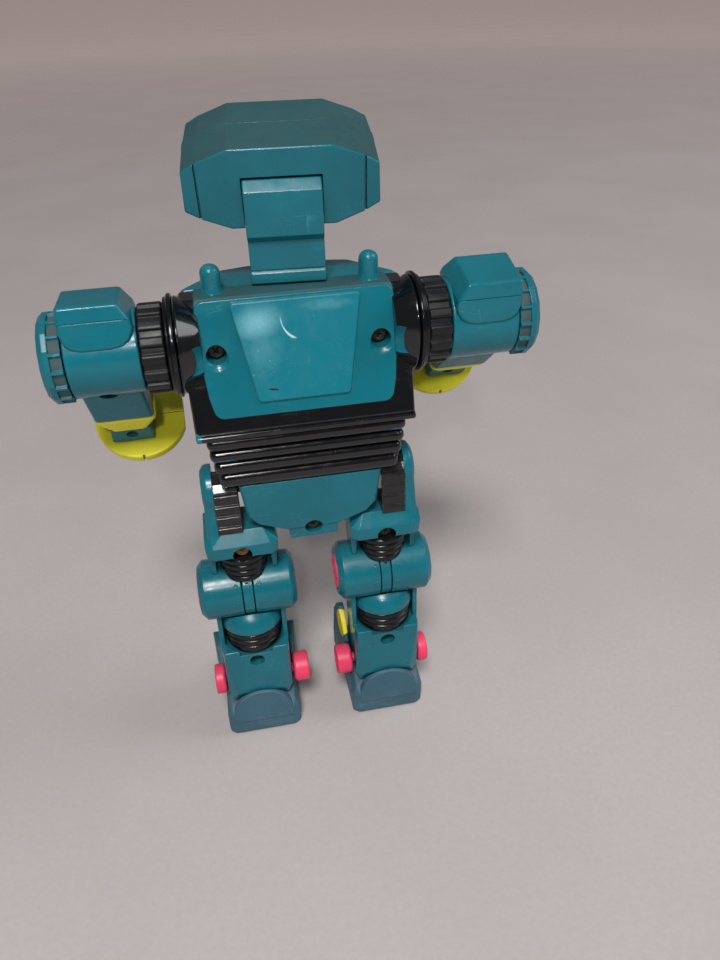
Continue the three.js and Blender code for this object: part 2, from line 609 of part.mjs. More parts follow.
put('waist_bellows', waistBellows(), 'black');
put('pelvis_rear_shell', pelvisRear(), 'teal');
put('pelvis_front_shell', pelvisFront(), 'teal');
put('pelvis_screw', screw(9.6).translate([0, -0.1, PELVIS_SCREW_Z]), 'steel');
put('hip_axle', cylX(HIP_AXLE_R, -27.8, 27.8, HIP_Y, HIP_Z, 10), 'steel');

// ================= THIGH =================
const HIP_DISC = { r: 6.8, x0: 26.7, x1: 29.9 };
const THIGH_Y = -5.0;               // axis of the thigh rings and split between the shells
const THIGH_SCREW_Z = 79.2;
const THIGH_BORE_R = 2.75;
const PIN_R = 1.6;                  // knee pin and ankle axle
const TONGUE_HALF = 1.5;            // half thickness of the knee knuckle and ankle pivot
const KNEE_Y = -6.4;
const KNEE_Z = 60.6;
const KNEE_R = 9.2;
const KNEE_X0 = HIP_X - 14.5;
const KNEE_X1 = HIP_X + 14.5;

const THIGH_RING_RADII = [8.3, 7.9, 7.4, 6.9, 6.4, 6.0];
// [x, rear y, front y, z]
const HIP_PLATE = [
  [26.7, 1.4, -11.4, 97], [29.6, 1.0, -11, 97], [26.7, 1.9, -12.4, 84], [30.4, 1.5, -12, 84],
];
// [y, z]
const HIP_BLOCK = [
  [-0.9, 101.2], [-3.2, 102.4], [-6.4, 102.3], [-8.5, 100.7], [-11.6, 95],
  [-11.8, 84], [1.2, 84], [1.2, 96.5], [0.6, 99.5],
];
// [inner x, outer x, y, z]
const THIGH_COLLAR = [
  [10.5, 31.3, 2.4, 82.6], [10.5, 31.3, -13, 82.6], [12.8, 29.2, 3.6, 82.4],
  [10.8, 31.0, 2.0, 78.4], [12.8, 29.0, 3.4, 78.4], [10.8, 31, -12.6, 76.4],
  [14.5, 29.2, 0.8, 86.4], [12.4, 29.6, -11.4, 86.0],
];
const THIGH_COLLAR_OUTER = [[31.2, 0, 85], [31.2, -12, 85]];   // [x, y, z]

const kneeClearance = () => cylX(KNEE_R + 0.35, 0, 40, KNEE_Y, KNEE_Z, 18);
const kneeBore = () => cylX(PIN_R + GAP, 5, 40, KNEE_Y, KNEE_Z, 10);
const bellowsRing = (r, top, height, y) => turnedZ([
  [0, top - height], [r - 0.9, top - height], [r, top - 1.9],
  [r, top - 0.9], [r - 0.9, top], [0, top],
], HIP_X, y);

// ribbed block beside the pelvis
function hipBlock() {
  const x0 = 20.0;
  const x1 = 26.9;
  const ribs = [0, 1, 2, 3].map((i) => {
    const z = 85.8 + i * 3.6;
    return prismX([[0.9, z], [2.0, z + 0.5], [2.0, z + 2.3], [0.9, z + 2.8]], x0, x1);
  });
  return union(prismX(HIP_BLOCK, x0, x1), ...ribs);
}

function thighShell() {
  const { r, x0, x1 } = HIP_DISC;
  const disc = turnedX([[0, x0], [r, x0], [r, x1 - 1.3], [r - 1.3, x1], [0, x1]],
    HIP_Y, HIP_Z, 16);
  // bars that run down each side of the rings
  const bars = [[11.0, 13.6], [28.4, 31.0]].map(([a, b]) => hull(spans([
    [a, b, -1.6, 79], [a, b, -11.8, 79],
    [a + 0.6, b - 0.6, -3.2, 60], [a + 0.6, b - 0.6, -10.6, 60],
  ])));
  const collar = hull([...spans(THIGH_COLLAR), ...THIGH_COLLAR_OUTER]);
  return cut(
    union(disc, hull(deep(HIP_PLATE)), hipBlock(), collar, ...bars),
    hipBore(10, 28.2),
    cylZ(8.7, 60, 80.2, HIP_X, THIGH_Y, 14),     // hollow for the rings
    kneeClearance(),
    screwHole({ x: HIP_X, z: THIGH_SCREW_Z, floor: -3.4, tip: -12, bore: THIGH_BORE_R }));
}

// stacked rings with the centre knuckle of the knee
function thighBellows() {
  const rings = THIGH_RING_RADII.map((r, i) => bellowsRing(r, 79.6 - i * 2.45, 2.5, THIGH_Y));
  const x0 = HIP_X - TONGUE_HALF;
  const x1 = HIP_X + TONGUE_HALF;
  const body = union(
    cut(union(...rings), kneeClearance()),
    cylX(KNEE_R - 0.1, x0, x1, KNEE_Y, KNEE_Z, 16),
    box(x0, x1, -9, -3.4, 60, 71));
  return largest(cut(
    body,
    kneeBore(),
    screwHole({ x: HIP_X, z: THIGH_SCREW_Z, floor: -3.9, tip: -14, bore: THIGH_BORE_R })));
}

// ================= SHIN =================
const SHIN_AXIS_Y = -5.2;           // axis of the shin rings and dome
const SHIN_SPLIT_Y = -6.2;
const SHIN_SCREW_Z = 36.6;
const ANKLE_Y = -4.2;
const ANKLE_Z = 24.2;
const KNUCKLE_SLOT_HALF = 1.8;
const CAP_R = 5.6;                  // ends of the knee pin
// [half width about HIP_X, y, z]
const SHIN_TOP = [[10.4, 0.6, 41.5], [9.8, 3.0, 41.5], [10, -13.6, 41.5]];
const SHIN_FOOT = [
  [10.4, 0.2, 22], [7.5, 2.0, 22], [10.4, -15.5, 22], [9, 0, 17.5], [9, -14.5, 17.5],
];

// chamfer0 and chamfer1 are the chamfers at x0 and x1
const kneeBarrel = (x0, x1, chamfer0, chamfer1) => turnedX([
  [0, x0], [KNEE_R - chamfer0, x0], [KNEE_R, x0 + chamfer0],
  [KNEE_R, x1 - chamfer1], [KNEE_R - chamfer1, x1], [0, x1],
], KNEE_Y, KNEE_Z, 16);

function shinShell() {
  const slot0 = HIP_X - KNUCKLE_SLOT_HALF;
  const slot1 = HIP_X + KNUCKLE_SLOT_HALF;
  const barrels = union(
    kneeBarrel(KNEE_X0, slot0, 1.8, 0.2),
    kneeBarrel(slot1, KNEE_X1, 0.2, 1.8));
  // cheeks that carry the barrels down to the shin, outside the dome
  const cheeks = [[10.4, 11.9], [30.1, 31.6]].map(([a, b]) => hull(spans([
    [a, b, -1.6, 58], [a, b, -12.6, 58], [a, b, -1.2, 40], [a, b, -12.4, 40],
  ])));
  const domeWell = cylZ(9.6, 39.6, 60, HIP_X, SHIN_AXIS_Y, 14);
  const capRecess = (x) => cylX(CAP_R + GAP, x - 1, x + 1, KNEE_Y, KNEE_Z);
  return cut(
    union(barrels, ...cheeks, hull(wide([...SHIN_TOP, ...SHIN_FOOT], HIP_X))),
    domeWell.subtract(barrels),
    cylX(KNEE_R + 0.4, slot0, slot1, KNEE_Y, KNEE_Z, 16),
    kneeBore(),
    capRecess(KNEE_X0),
    capRecess(KNEE_X1),
    cylX(PIN_R + GAP, 5, 40, ANKLE_Y, ANKLE_Z, 10),
    wideBox(1.9, -11, -0.3, 10, 28.4, HIP_X),    // slot for the boot's pivot
    screwHole({ x: HIP_X, z: SHIN_SCREW_Z, floor: -2.2, tip: -9, bore: 2.3, hole: 1.4 }));
}

// dome under the knee on three rings
function shinBellows() {
  const dome = turnedZ([
    [0, 44], [8.9, 44], [9.3, 48.6], [8.9, 51.2], [7.1, 54.0], [4.3, 55.6], [0, 56.0],
  ], HIP_X, SHIN_AXIS_Y);
  const rings = [0, 1, 2].map(
    (i) => bellowsRing(9.1 - i * 0.2, 48.9 - i * 2.5, 2.6, SHIN_AXIS_Y));
  const foot = cylZ(7.6, 39.9, 43, HIP_X, SHIN_AXIS_Y);
  return cut(union(dome, union(...rings), foot), kneeClearance());
}

const kneePin = () => turnedX([
  [0, KNEE_X0 - 0.3], [5.0, KNEE_X0 - 0.3], [CAP_R, KNEE_X0 + 0.2], [CAP_R, KNEE_X0 + 0.7],
  [PIN_R, KNEE_X0 + 0.7], [PIN_R, KNEE_X1 - 0.7],
  [CAP_R, KNEE_X1 - 0.7], [CAP_R, KNEE_X1 - 0.2], [5.0, KNEE_X1 + 0.3], [0, KNEE_X1 + 0.3],
], KNEE_Y, KNEE_Z);

// ================= ANKLE AND BOOT =================
const WHEEL_R = 4.8;
const ANKLE_TRAVEL = 4;             // degrees each way
const ARCH = { r: 9.6, z: 13.2 };   // heel plate
// [half width about HIP_X, y, z]
const BOOT = [
  [12, 0.6, SOLE_Z], [10, 2.0, SOLE_Z], [12, 1.4, 12.0], [9.8, 3.2, 13.5],
  [10.6, 1.2, 15.5], [11.2, -14, 19.5], [12, -32, SOLE_Z], [8.5, -37, SOLE_Z],
  [11.6, -31, 10], [8, -36, 8.5], [7.4, 0.2, 17.4],
];
// the shin's foot carried up through the mouth of the boot
const BOOT_WELL = [...SHIN_FOOT, [10.1, 0.0, 30], [7, 2.2, 30], [10.1, -15, 30]];
// ankle guard, [y, z]: the base stays put and the top leans about the ankle
const GUARD_BASE = [[-7.6, 14], [-24, 13]];
const GUARD_TOP = [
  [-8.6, 27], [-12, 33], [-15.8, 37.0], [-18.2, 36.6], [-21.5, 32], [-24, 20],
];

const radians = (degrees) => (degrees * Math.PI) / 180;
function aboutAnkle(y, z, degrees) {
  const cos = Math.cos(radians(degrees));
  const sin = Math.sin(radians(degrees));
  const dy = y - ANKLE_Y;
  const dz = z - ANKLE_Z;
  return [ANKLE_Y + dy * cos - dz * sin, ANKLE_Z + dy * sin + dz * cos];
}

// axle with a wheel at each end
function ankleWheels() {
  const wheel = (x0, x1) => turnedX([
    [0, x0], [WHEEL_R - 1, x0], [WHEEL_R, x0 + 1], [WHEEL_R, x1 - 1], [WHEEL_R - 1, x1], [0, x1],
  ], ANKLE_Y, ANKLE_Z);
  return union(
    wheel(4.7, 9.8), cylX(PIN_R, 9.6, 32.4, ANKLE_Y, ANKLE_Z, 10), wheel(31.7, 35.2));
}

// arched plate standing behind the shin
function heelPlate() {
  const arc = Array.from({ length: 11 }, (_, i) => {
    const angle = radians(-90 + i * 18);
    return [HIP_X + ARCH.r * Math.sin(angle), ARCH.z + ARCH.r * Math.cos(angle)];
  });
  return prismY([...arc, [HIP_X - ARCH.r, 10], [HIP_X + ARCH.r, 10]], 1.0, 3.5);
}

// room for the shin through the ankle travel
function bootWell() {
  const swing = ANKLE_TRAVEL + 0.5;
  const rows = [-swing, 0, swing].flatMap((degrees) => BOOT_WELL.map(([half, y, z]) => {
    const clearY = y + (y > -7 ? 0.25 : -0.25);
    const clearZ = z - (z < 20 ? GAP : 0);
    return [half + GAP, ...aboutAnkle(clearY, clearZ, degrees)];
  }));
  return hull(wide(rows, HIP_X));
}

// wedge that thickens towards the front; outward is the X direction it thickens in
function ankleGuard(outward, lean) {
  const x = HIP_X + outward * 11;
  const top = GUARD_TOP.map(([y, z]) => aboutAnkle(y, z, lean)).filter(([, z]) => z > 12);
  return hull([...GUARD_BASE, ...top].flatMap(([y, z]) => {
    const thickness = 1.2 + Math.max(0, -7.6 - y) * 0.12;
    return [[x, y, z], [x + outward * thickness, y, z]];
  }));
}

function boot(lean) {
  const ankleCyl = (r, x0, x1, facets) => cylX(r, x0, x1, ANKLE_Y, ANKLE_Z, facets);
  const pivot = union(
    wideBox(TONGUE_HALF, ANKLE_Y - 3, ANKLE_Y + 3, 9, ANKLE_Z, HIP_X),
    ankleCyl(3.0, HIP_X - TONGUE_HALF, HIP_X + TONGUE_HALF, 10));
  const wheelRoom = union(
    ankleCyl(WHEEL_R + 0.6, 0, 10.15, 14),
    ankleCyl(WHEEL_R + 0.6, 31.4, 38, 14));
  const foot = cut(union(hull(wide(BOOT, HIP_X)), heelPlate()), bootWell());
  return cut(
    union(foot, pivot, ankleGuard(-1, lean), ankleGuard(1, lean)),
    wheelRoom,
    ankleCyl(PIN_R + GAP, HIP_X - 3, HIP_X + 3, 10));
}

for (const [name, side] of SIDES) {
  const putLeg = (piece, body, finish) => put(`${piece}_${name}`, mirrored(body, side), finish);
  const thigh = thighShell();
  const shin = shinShell();
  const shinScrew = screw(5.6).scale([0.9, 1, 0.9]).translate([HIP_X, 0, SHIN_SCREW_Z]);
  putLeg('thigh_rear_shell', rearHalf(thigh, THIGH_Y), 'teal');
  putLeg('thigh_front_shell', frontHalf(thigh, THIGH_Y), 'teal');
  putLeg('thigh_bellows', thighBellows(), 'black');
  putLeg('thigh_screw', screw(6.2).translate([HIP_X, 0.6, THIGH_SCREW_Z]), 'steel');
  putLeg('shin_rear_shell', rearHalf(shin, SHIN_SPLIT_Y), 'teal');
  putLeg('shin_front_shell', frontHalf(shin, SHIN_SPLIT_Y), 'teal');
  putLeg('shin_bellows', shinBellows(), 'black');
  putLeg('shin_screw', shinScrew, 'steel');
  putLeg('knee_pin', kneePin(), 'pink');
  putLeg('ankle_wheels', ankleWheels(), 'pink');
  putLeg('boot', boot(POD_LEAN[name]), 'boot');
}

root.position.set(0, -MID_Y, -SOLE_Z);

export default root;
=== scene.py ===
"""Toy robot seen from behind: teal, black, yellow and pink moulded parts on a pale floor.

Solids are drawn in mm in the frame of the CAD: X across (the robot's left is +X), +Y out of
its back, Z up. piece() moves them to the scene: metres, MID_Y at the origin, soles at z = 0.
"""

import functools
import math
import bpy
import bmesh
import numpy as np
from mathutils import Vector, Matrix


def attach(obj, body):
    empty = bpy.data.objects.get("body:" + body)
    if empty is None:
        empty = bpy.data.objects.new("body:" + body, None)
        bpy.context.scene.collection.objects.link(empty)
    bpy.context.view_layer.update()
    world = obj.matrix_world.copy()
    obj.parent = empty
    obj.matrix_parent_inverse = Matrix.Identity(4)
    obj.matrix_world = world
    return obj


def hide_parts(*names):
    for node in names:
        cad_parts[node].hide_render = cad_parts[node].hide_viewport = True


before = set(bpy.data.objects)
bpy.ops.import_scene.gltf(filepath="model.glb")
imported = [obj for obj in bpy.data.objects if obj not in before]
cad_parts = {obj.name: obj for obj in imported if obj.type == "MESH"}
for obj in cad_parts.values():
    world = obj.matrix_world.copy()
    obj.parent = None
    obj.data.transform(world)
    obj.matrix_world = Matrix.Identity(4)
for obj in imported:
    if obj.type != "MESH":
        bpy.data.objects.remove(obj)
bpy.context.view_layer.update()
scene = bpy.context.scene

# ---------------------------------------------------------------- dimensions (mm)
MM = 0.001
GAP = 0.3                                        # clearance between parts
MID_Y, SOLE_Z = -22.055, 3.0                     # drawing point that becomes the scene origin
SIDES = (("left", 1), ("right", -1))

# torso
SCREW_X, SCREW_Z = 20.75, 139.5
SCREW_BORE_R, SCREW_HEAD_R = 2.55, 2.1
LEAN = 0.312                                     # back panel: fall in Y per mm of height
TORSO_Z, DECK_Z, SPLIT_Y = 118.6, 152.4, -13.0   # bottom, top, plane between the halves
BASE_HALF, TOP_HALF = 28.6, 29.4                 # half widths
WALL = 2.2
PEG_X, PEG_Y, PEG_R, PEG_TOP = 19.8, -9.6, 2.5, 159.3
CHEST = [(-12.5, 129), (12.5, 129), (15.5, 133), (13, 146), (-13, 146), (-15.5, 133)]  # x, z
CHEST_LENS_Z = 140.2
WAIST_Y, NECK_Y, NECK_HALF = -5.5, -14.5, 9.4

# arms; joint centres are (y, z)
SHOULDER = (-5.6, 140.8)
SHAFT_R = 2.2
COLLAR_R, COLLAR_STEP_R = 12.9, 12.1
DRUM_R, DRUM_X0, DRUM_X1 = 11.2, 32.4, 38.2
BARREL_R, BARREL_X0, BARREL_X1 = 10.5, 38.5, 55.8
DIAL_R, DIAL_X1 = 11.3, 61.4
BLOCK_DROP = 52                                  # shoulder block, degrees
ARM_DROP = {"left": 54, "right": 38}             # forearm, degrees
ARM_X = 47.0
ARM_SCREW_X, ARM_SCREW_Z = 48.4, -5.2
GUARD_R, GUARD_X = 13.0, 44.8

# legs
LEG_X = 21.0
HIP, HIP_R = (-5.0, 98.0), 6.8
KNEE, KNEE_R, KNEE_X0, KNEE_X1 = (-6.4, 60.6), 9.2, 6.5, 35.5
ANKLE, WHEEL_R = (-4.2, 24.2), 4.8
PELVIS_SCREW, THIGH_SCREW, SHIN_SCREW = (0, 84.9), (LEG_X, 79.2), (LEG_X, 36.6)  # x, z
POD_LEAN = {"left": 30, "right": 0}              # degrees about the ankle

# head
NOD = (-14.8, 172.5)
HEAD_TURN, HEAD_TILT, HEAD_DEPTH = -5.0, 11.7, 30.4

# ---------------------------------------------------------------- solid modeller on bmesh
WORK = bpy.data.collections.new("work")
scene.collection.children.link(WORK)
SLOT_MATERIALS = [bpy.data.materials.new("slot%d" % i) for i in range(6)]


class Solid:
    """A closed solid in mm: points, faces and a material slot for each face."""

    def __init__(self, points, faces, slots=None):
        self.points = np.asarray(points, float).reshape(-1, 3)
        self.faces = [tuple(int(i) for i in face) for face in faces]
        self.slots = slots or [0] * len(self.faces)

    def at(self, x=0, y=0, z=0):
        return Solid(self.points + np.array([x, y, z]), self.faces, self.slots)

    def rot(self, axis, degrees, about=(0, 0, 0)):
        turn = np.array(Matrix.Rotation(math.radians(degrees), 3, axis))
        centre = np.array(about)
        return Solid((self.points - centre) @ turn.T + centre, self.faces, self.slots)

    def scaled(self, x, y, z):
        return Solid(self.points * np.array([x, y, z]), self.faces, self.slots)

    def flip(self):
        """Mirror image in X."""
        faces = [face[::-1] for face in self.faces]
        return Solid(self.points * np.array([-1, 1, 1]), faces, self.slots)

    def slot(self, index):
        return Solid(self.points, self.faces, [index] * len(self.faces))


def mirror(solid, sign):
    return solid if sign > 0 else solid.flip()


def outward(points, faces):
    """Solid with its faces wound so that they look outwards."""
    solid = Solid(points, faces)
    total = 0.0
    for face in solid.faces:
        corners = solid.points[list(face)]
        for i in range(1, len(face) - 1):
            total += np.dot(corners[0], np.cross(corners[i], corners[i + 1]))
    if total < 0:
        solid.faces = [face[::-1] for face in solid.faces]
    return solid


def hull_mesh(points, flat):
    """Convex hull as a bmesh, faces within `flat` degrees of each other merged."""
    bm = bmesh.new()
    for p in points:
        bm.verts.new(p)
    bmesh.ops.remove_doubles(bm, verts=bm.verts, dist=1e-4)
    got = bmesh.ops.convex_hull(bm, input=bm.verts, use_existing_faces=False)
    inside = {item for key in ("geom_interior", "geom_unused") for item in got[key]
              if isinstance(item, bmesh.types.BMVert)}
    if inside:
        bmesh.ops.delete(bm, geom=list(inside), context="VERTS")
    bmesh.ops.recalc_face_normals(bm, faces=bm.faces)
    bmesh.ops.dissolve_limit(bm, angle_limit=math.radians(flat), verts=bm.verts,
                             edges=bm.edges, use_dissolve_boundaries=False)
    bm.normal_update()
    return bm


def mesh_solid(bm):
    bm.verts.index_update()
    points = [tuple(vert.co) for vert in bm.verts]
    faces = [[vert.index for vert in face.verts] for face in bm.faces]
    bm.free()
    return outward(points, faces)


def slerp(a, b, t):
    angle = math.acos(max(-1.0, min(1.0, float(np.dot(a, b)))))
    if angle < 1e-4:
        return a
    return (math.sin((1 - t) * angle) * a + math.sin(t * angle) * b) / math.sin(angle)


def hull(points, radius=0.0, steps=3):
    """Convex solid through the points, its edges rolled over with the radius.

    The face planes are moved in by the radius, the core they bound is found through its
    polar dual, and each core corner is then grown back along the directions around it.
    """
    bm = hull_mesh(points, 0.3)
    if radius <= 0:
        return mesh_solid(bm)
    planes = [(np.array(f.normal), float(f.normal.dot(f.calc_center_median())))
              for f in bm.faces if f.calc_area() > 1e-3]
    bm.free()
    centre = np.mean(np.array(points), axis=0)
    while min(d - radius - n.dot(centre) for n, d in planes) <= 0.02:
        radius *= 0.6
    dual = hull_mesh([tuple(n / (d - radius - n.dot(centre))) for n, d in planes], 1e-4)
    corners = []
    for face in dual.faces:
        normal = np.array(face.normal)
        offset = float(normal.dot(np.array(face.verts[0].co)))
        if offset > 1e-9:
            corners.append(tuple(centre + normal / offset))
    dual.free()
    core = hull_mesh(corners, 0.3)
    grown = []
    for vert in core.verts:
        corner = np.array(vert.co)
        normals = [np.array(f.normal) for f in vert.link_faces]
        around = list(normals)
        for edge in vert.link_edges:
            if len(edge.link_faces) == 2:
                a, b = (np.array(f.normal) for f in edge.link_faces)
                angle = math.degrees(math.acos(max(-1, min(1, float(a.dot(b))))))
                count = max(1, min(steps, int(round(angle / 20))))
                around += [slerp(a, b, i / count) for i in range(1, count)]
        if len(normals) >= 3:
            middle = sum(normals)
            middle = middle / np.linalg.norm(middle)
            around.append(middle)
            around += [slerp(middle, n, 0.5) for n in normals]
        grown += [tuple(corner + radius * (d / np.linalg.norm(d))) for d in around]
    core.free()
    return mesh_solid(hull_mesh(grown, 0.05))


def spans(*rows):
    """Points at both ends of lines across X; rows are x0, x1, y, z."""
    return [(x, y, z) for x0, x1, y, z in rows for x in (x0, x1)]


def pairs(*rows):
    """Points mirrored in X; rows are half width, y, z."""
    return spans(*[(-half, half, y, z) for half, y, z in rows])


def rects(*rows):
    """Corners of level rectangles; rows are x0, x1, y0, y1, z."""
    return [(x, y, z) for x0, x1, y0, y1, z in rows for y in (y0, y1) for x in (x0, x1)]


def box(x0, x1, y0, y1, z0, z1, radius=0.0):
    return hull([(x, y, z) for x in (x0, x1) for y in (y0, y1) for z in (z0, z1)], radius)


def prism(axis, section, start, end, radius=0.0):
    """Convex section, drawn in the two other axes, run along one axis."""
    i = "XYZ".index(axis)
    return hull([(*p[:i], along, *p[i:]) for p in section for along in (start, end)], radius)


def outline(corners, radius, inset, steps):
    """Closed convex outline, its lines moved in by inset and its corners rounded."""
    corners = [np.array(p, float) for p in corners]
    ends = corners[1:] + corners[:1]
    if sum(a[0] * b[1] - b[0] * a[1] for a, b in zip(corners, ends)) < 0:
        corners = corners[::-1]
    lines = []
    for a, b in zip(corners, corners[1:] + corners[:1]):
        d = (b - a) / np.linalg.norm(b - a)
        normal = np.array([d[1], -d[0]])
        lines.append((normal, normal.dot(a) - inset))
    points = []
    radius = max(radius - inset, 0.05)
    for (n0, d0), (n1, d1) in zip(lines[-1:] + lines[:-1], lines):
        both = np.array([n0, n1])
        if abs(np.linalg.det(both)) < 1e-6:
            continue
        centre = np.linalg.solve(both, np.array([d0 - radius, d1 - radius]))
        start, end = math.atan2(n0[1], n0[0]), math.atan2(n1[1], n1[0])
        while end < start:
            end += 2 * math.pi
        count = max(1, int(round(steps * (end - start) / (math.pi / 2))))
        for j in range(count + 1):
            t = start + (end - start) * j / count
            points.append(centre + radius * np.array([math.cos(t), math.sin(t)]))
    return points


def slab(corners, radius, levels, place=lambda u, v, h: (u, v, h), steps=6):
    """Convex slab: the outline at each (height, inset) level, put in space by place."""
    return hull([place(u, v, h) for h, inset in levels
                 for u, v in outline(corners, radius, inset, steps)])


def edge_levels(start, end, radius, steps=4, both=False):
    """Slab levels with the end edge, or both edges, rounded."""
    angles = [math.pi / 2 * i / steps for i in range(steps + 1)]
    arc = [(radius * math.sin(a), radius - radius * math.cos(a)) for a in angles]
    up = [(end - radius + rise, inset) for rise, inset in arc]
    if both:
        return [(start + radius - rise, inset) for rise, inset in arc[::-1]] + up
    return [(start, 0)] + up


def rounded(profile, radius, steps):
    """Profile with each off-axis corner turned into an arc; a third column is its radius."""
    points = [np.array(p[:2], float) for p in profile]
    radii = [p[2] if len(p) > 2 else radius for p in profile]
    out = [points[0]]
    for i in range(1, len(points) - 1):
        a, b, c = points[i - 1:i + 2]
        u, w = a - b, c - b
        len_u, len_w = np.linalg.norm(u), np.linalg.norm(w)
        if len_u < 1e-6 or len_w < 1e-6 or radii[i] <= 0:
            out.append(b)
            continue
        u, w = u / len_u, w / len_w
        angle = math.acos(max(-1, min(1, float(u.dot(w)))))
        if angle > math.radians(172):
            out.append(b)
            continue
        reach = min(radii[i] / math.tan(angle / 2), 0.47 * len_u, 0.47 * len_w)
        rad = reach * math.tan(angle / 2)
        centre = b + (u + w) / np.linalg.norm(u + w) * (rad / math.sin(angle / 2))
        start, end = b + u * reach - centre, b + w * reach - centre
        count = max(1, int(round(steps * (math.pi - angle) / (math.pi / 2))))
        start, end = start / np.linalg.norm(start), end / np.linalg.norm(end)
        out += [centre + rad * slerp(start, end, j / count) for j in range(count + 1)]
    return out + [points[-1]]


def lathe(profile, segments, radius=0.0, axis="Y", steps=4):
    """Turned body; the profile is (radius, height[, corner radius]), axis to axis."""
    points, rings = [], []
    for rad, height in rounded(profile, radius, steps):
        count = 1 if rad < 1e-6 else segments
        rings.append(list(range(len(points), len(points) + count)))
        if count == 1:
            points.append((0.0, height, 0.0))
            continue
        for i in range(segments):
            angle = 2 * math.pi * i / segments
            points.append((rad * math.cos(angle), height, rad * math.sin(angle)))
    faces = []
    for a, b in zip(rings, rings[1:]):
        if len(a) == 1 and len(b) == 1:
            continue
        for i in range(segments):
            j = (i + 1) % segments
            if len(a) == 1:
                faces.append((a[0], b[j], b[i]))
            elif len(b) == 1:
                faces.append((a[i], a[j], b[0]))
            else:
                faces.append((a[i], a[j], b[j], b[i]))
    solid = outward(points, faces)
    if axis == "X":
        return solid.rot("Z", -90)
    return solid.rot("X", 90) if axis == "Z" else solid


def rod(axis, radius, start, end, centre=(0, 0), segments=48, edge=0.0):
    """Cylinder along an axis; centre is its place in the two other axes."""
    body = lathe([(0, start), (radius, start), (radius, end), (0, end)], segments, edge, axis)
    i = "XYZ".index(axis)
    return body.at(*centre[:i], 0, *centre[i:])


def fluted(radius, depth, duty, x0, x1, edge, soft, edge_in):
    """Drum along X with 16 flutes: duty is the raised share of a pitch, soft its flank."""
    per_tooth = 14
    count = 16 * per_tooth

    def rise(a, b, t):
        t = max(0.0, min(1.0, (t - a) / (b - a)))
        return t * t * (3 - 2 * t)

    def tooth(i):
        t = (i / per_tooth) % 1.0
        high = rise(0.0, soft, t) * (1 - rise(duty, duty + soft, t))
        return radius - depth * (1 - high)

    levels = [(x0, edge_in), (x0 + edge * 0.3, edge_in * 0.4), (x0 + edge, 0.0),
              (x1 - edge, 0.0), (x1 - edge * 0.3, edge_in * 0.4), (x1, edge_in)]
    points, faces = [], []
    for x, inset in levels:
        for i in range(count):
            angle = 2 * math.pi * i / count
            rad = tooth(i) - inset
            points.append((x, rad * math.cos(angle), rad * math.sin(angle)))
    last = len(levels) - 1
    for level in range(last):
        a, b = level * count, (level + 1) * count
        for i in range(count):
            j = (i + 1) % count
            faces.append((a + i, a + j, b + j, b + i))
    hub = len(points)
    points += [(x0, 0, 0), (x1, 0, 0)]
    for i in range(count):
        j = (i + 1) % count
        faces.append((hub, j, i))
        faces.append((hub + 1, last * count + i, last * count + j))
    return outward(points, faces)


def as_object(solid):
    mesh = bpy.data.meshes.new("w")
    mesh.from_pydata(solid.points.tolist(), [], solid.faces)
    for material in SLOT_MATERIALS:
        mesh.materials.append(material)
    mesh.polygons.foreach_set("material_index", np.array(solid.slots, dtype=np.int32))
    obj = bpy.data.objects.new("w", mesh)
    WORK.objects.link(obj)
    return obj


def plus(*solids):
    return [("UNION", solid) for solid in solids]


def minus(*solids):
    return [("DIFFERENCE", solid) for solid in solids]


def within(solid):
    return [("INTERSECT", solid)]


def boolean(solid, *groups):
    """Carry out the steps made by plus, minus and within, in order."""
    base = as_object(solid)
    made = [base]
    for operation, other in [step for group in groups for step in group]:
        made.append(as_object(other))
        mod = base.modifiers.new("b", "BOOLEAN")
        mod.operation, mod.object = operation, made[-1]
        mod.solver, mod.material_mode = "MANIFOLD", "INDEX"
    result = base.evaluated_get(bpy.context.evaluated_depsgraph_get())
    mesh = result.to_mesh()
    points = np.empty(len(mesh.vertices) * 3)
    mesh.vertices.foreach_get("co", points)
    faces = [tuple(p.vertices) for p in mesh.polygons]
    slots = [p.material_index for p in mesh.polygons]
    result.to_mesh_clear()
    for obj in made:
        mesh = obj.data
        bpy.data.objects.remove(obj)
        bpy.data.meshes.remove(mesh)
    return Solid(points, faces, slots)


def union(solid, *others):
    return boolean(solid, plus(*others))


def cut(solid, *others):
    return boolean(solid, minus(*others))


def common(a, b):
    return boolean(a, within(b))


def halves(solid, split, x0, x1, back, z0, z1):
    """Rear and front parts of a solid either side of the plane y = split."""
    return (common(solid, box(x0, x1, split + GAP / 2 - 0.1, back, z0, z1)),
            common(solid, box(x0, x1, -60, split - GAP / 2 + 0.1, z0, z1)))


def by_normal(solid, rule):
    """Slot 1 for each face whose centre and normal meet the rule, slot 0 for the rest."""
    slots = []
    for face, old in zip(solid.faces, solid.slots):
        p = solid.points[list(face)]
        normal = np.cross(p[1] - p[0], p[2] - p[0])
        size = np.linalg.norm(normal)
        slots.append(int(rule(p.mean(axis=0), normal / size)) if size > 0 else old)
    return Solid(solid.points, solid.faces, slots)


def back_y(z):
    """Y of the leaning back panel at a height."""
    return -LEAN * (z - SCREW_Z)


def on_back(x, rise, out):
    """Point on the back panel: height above the screws, distance off the panel."""
    return (x, back_y(SCREW_Z + rise) + 0.955 * out, SCREW_Z + rise + 0.298 * out)


def screw(length):
    """Screw with a crossed recess, head towards +Y, head face at y = 0."""
    body = lathe([(0, 0), (SCREW_HEAD_R, 0, 0.35), (SCREW_HEAD_R, -1.4, 0.2), (1.1, -1.9),
                  (1.1, -length), (0, -length - 0.8)], 40, 0.0001)
    slit = prism("Z", [(-1.35, 0.3), (1.35, 0.3), (-0.5, -1.0), (0.5, -1.0)], -0.26, 0.26)
    return cut(body, slit.rot("Y", 18), slit.rot("Y", 108))


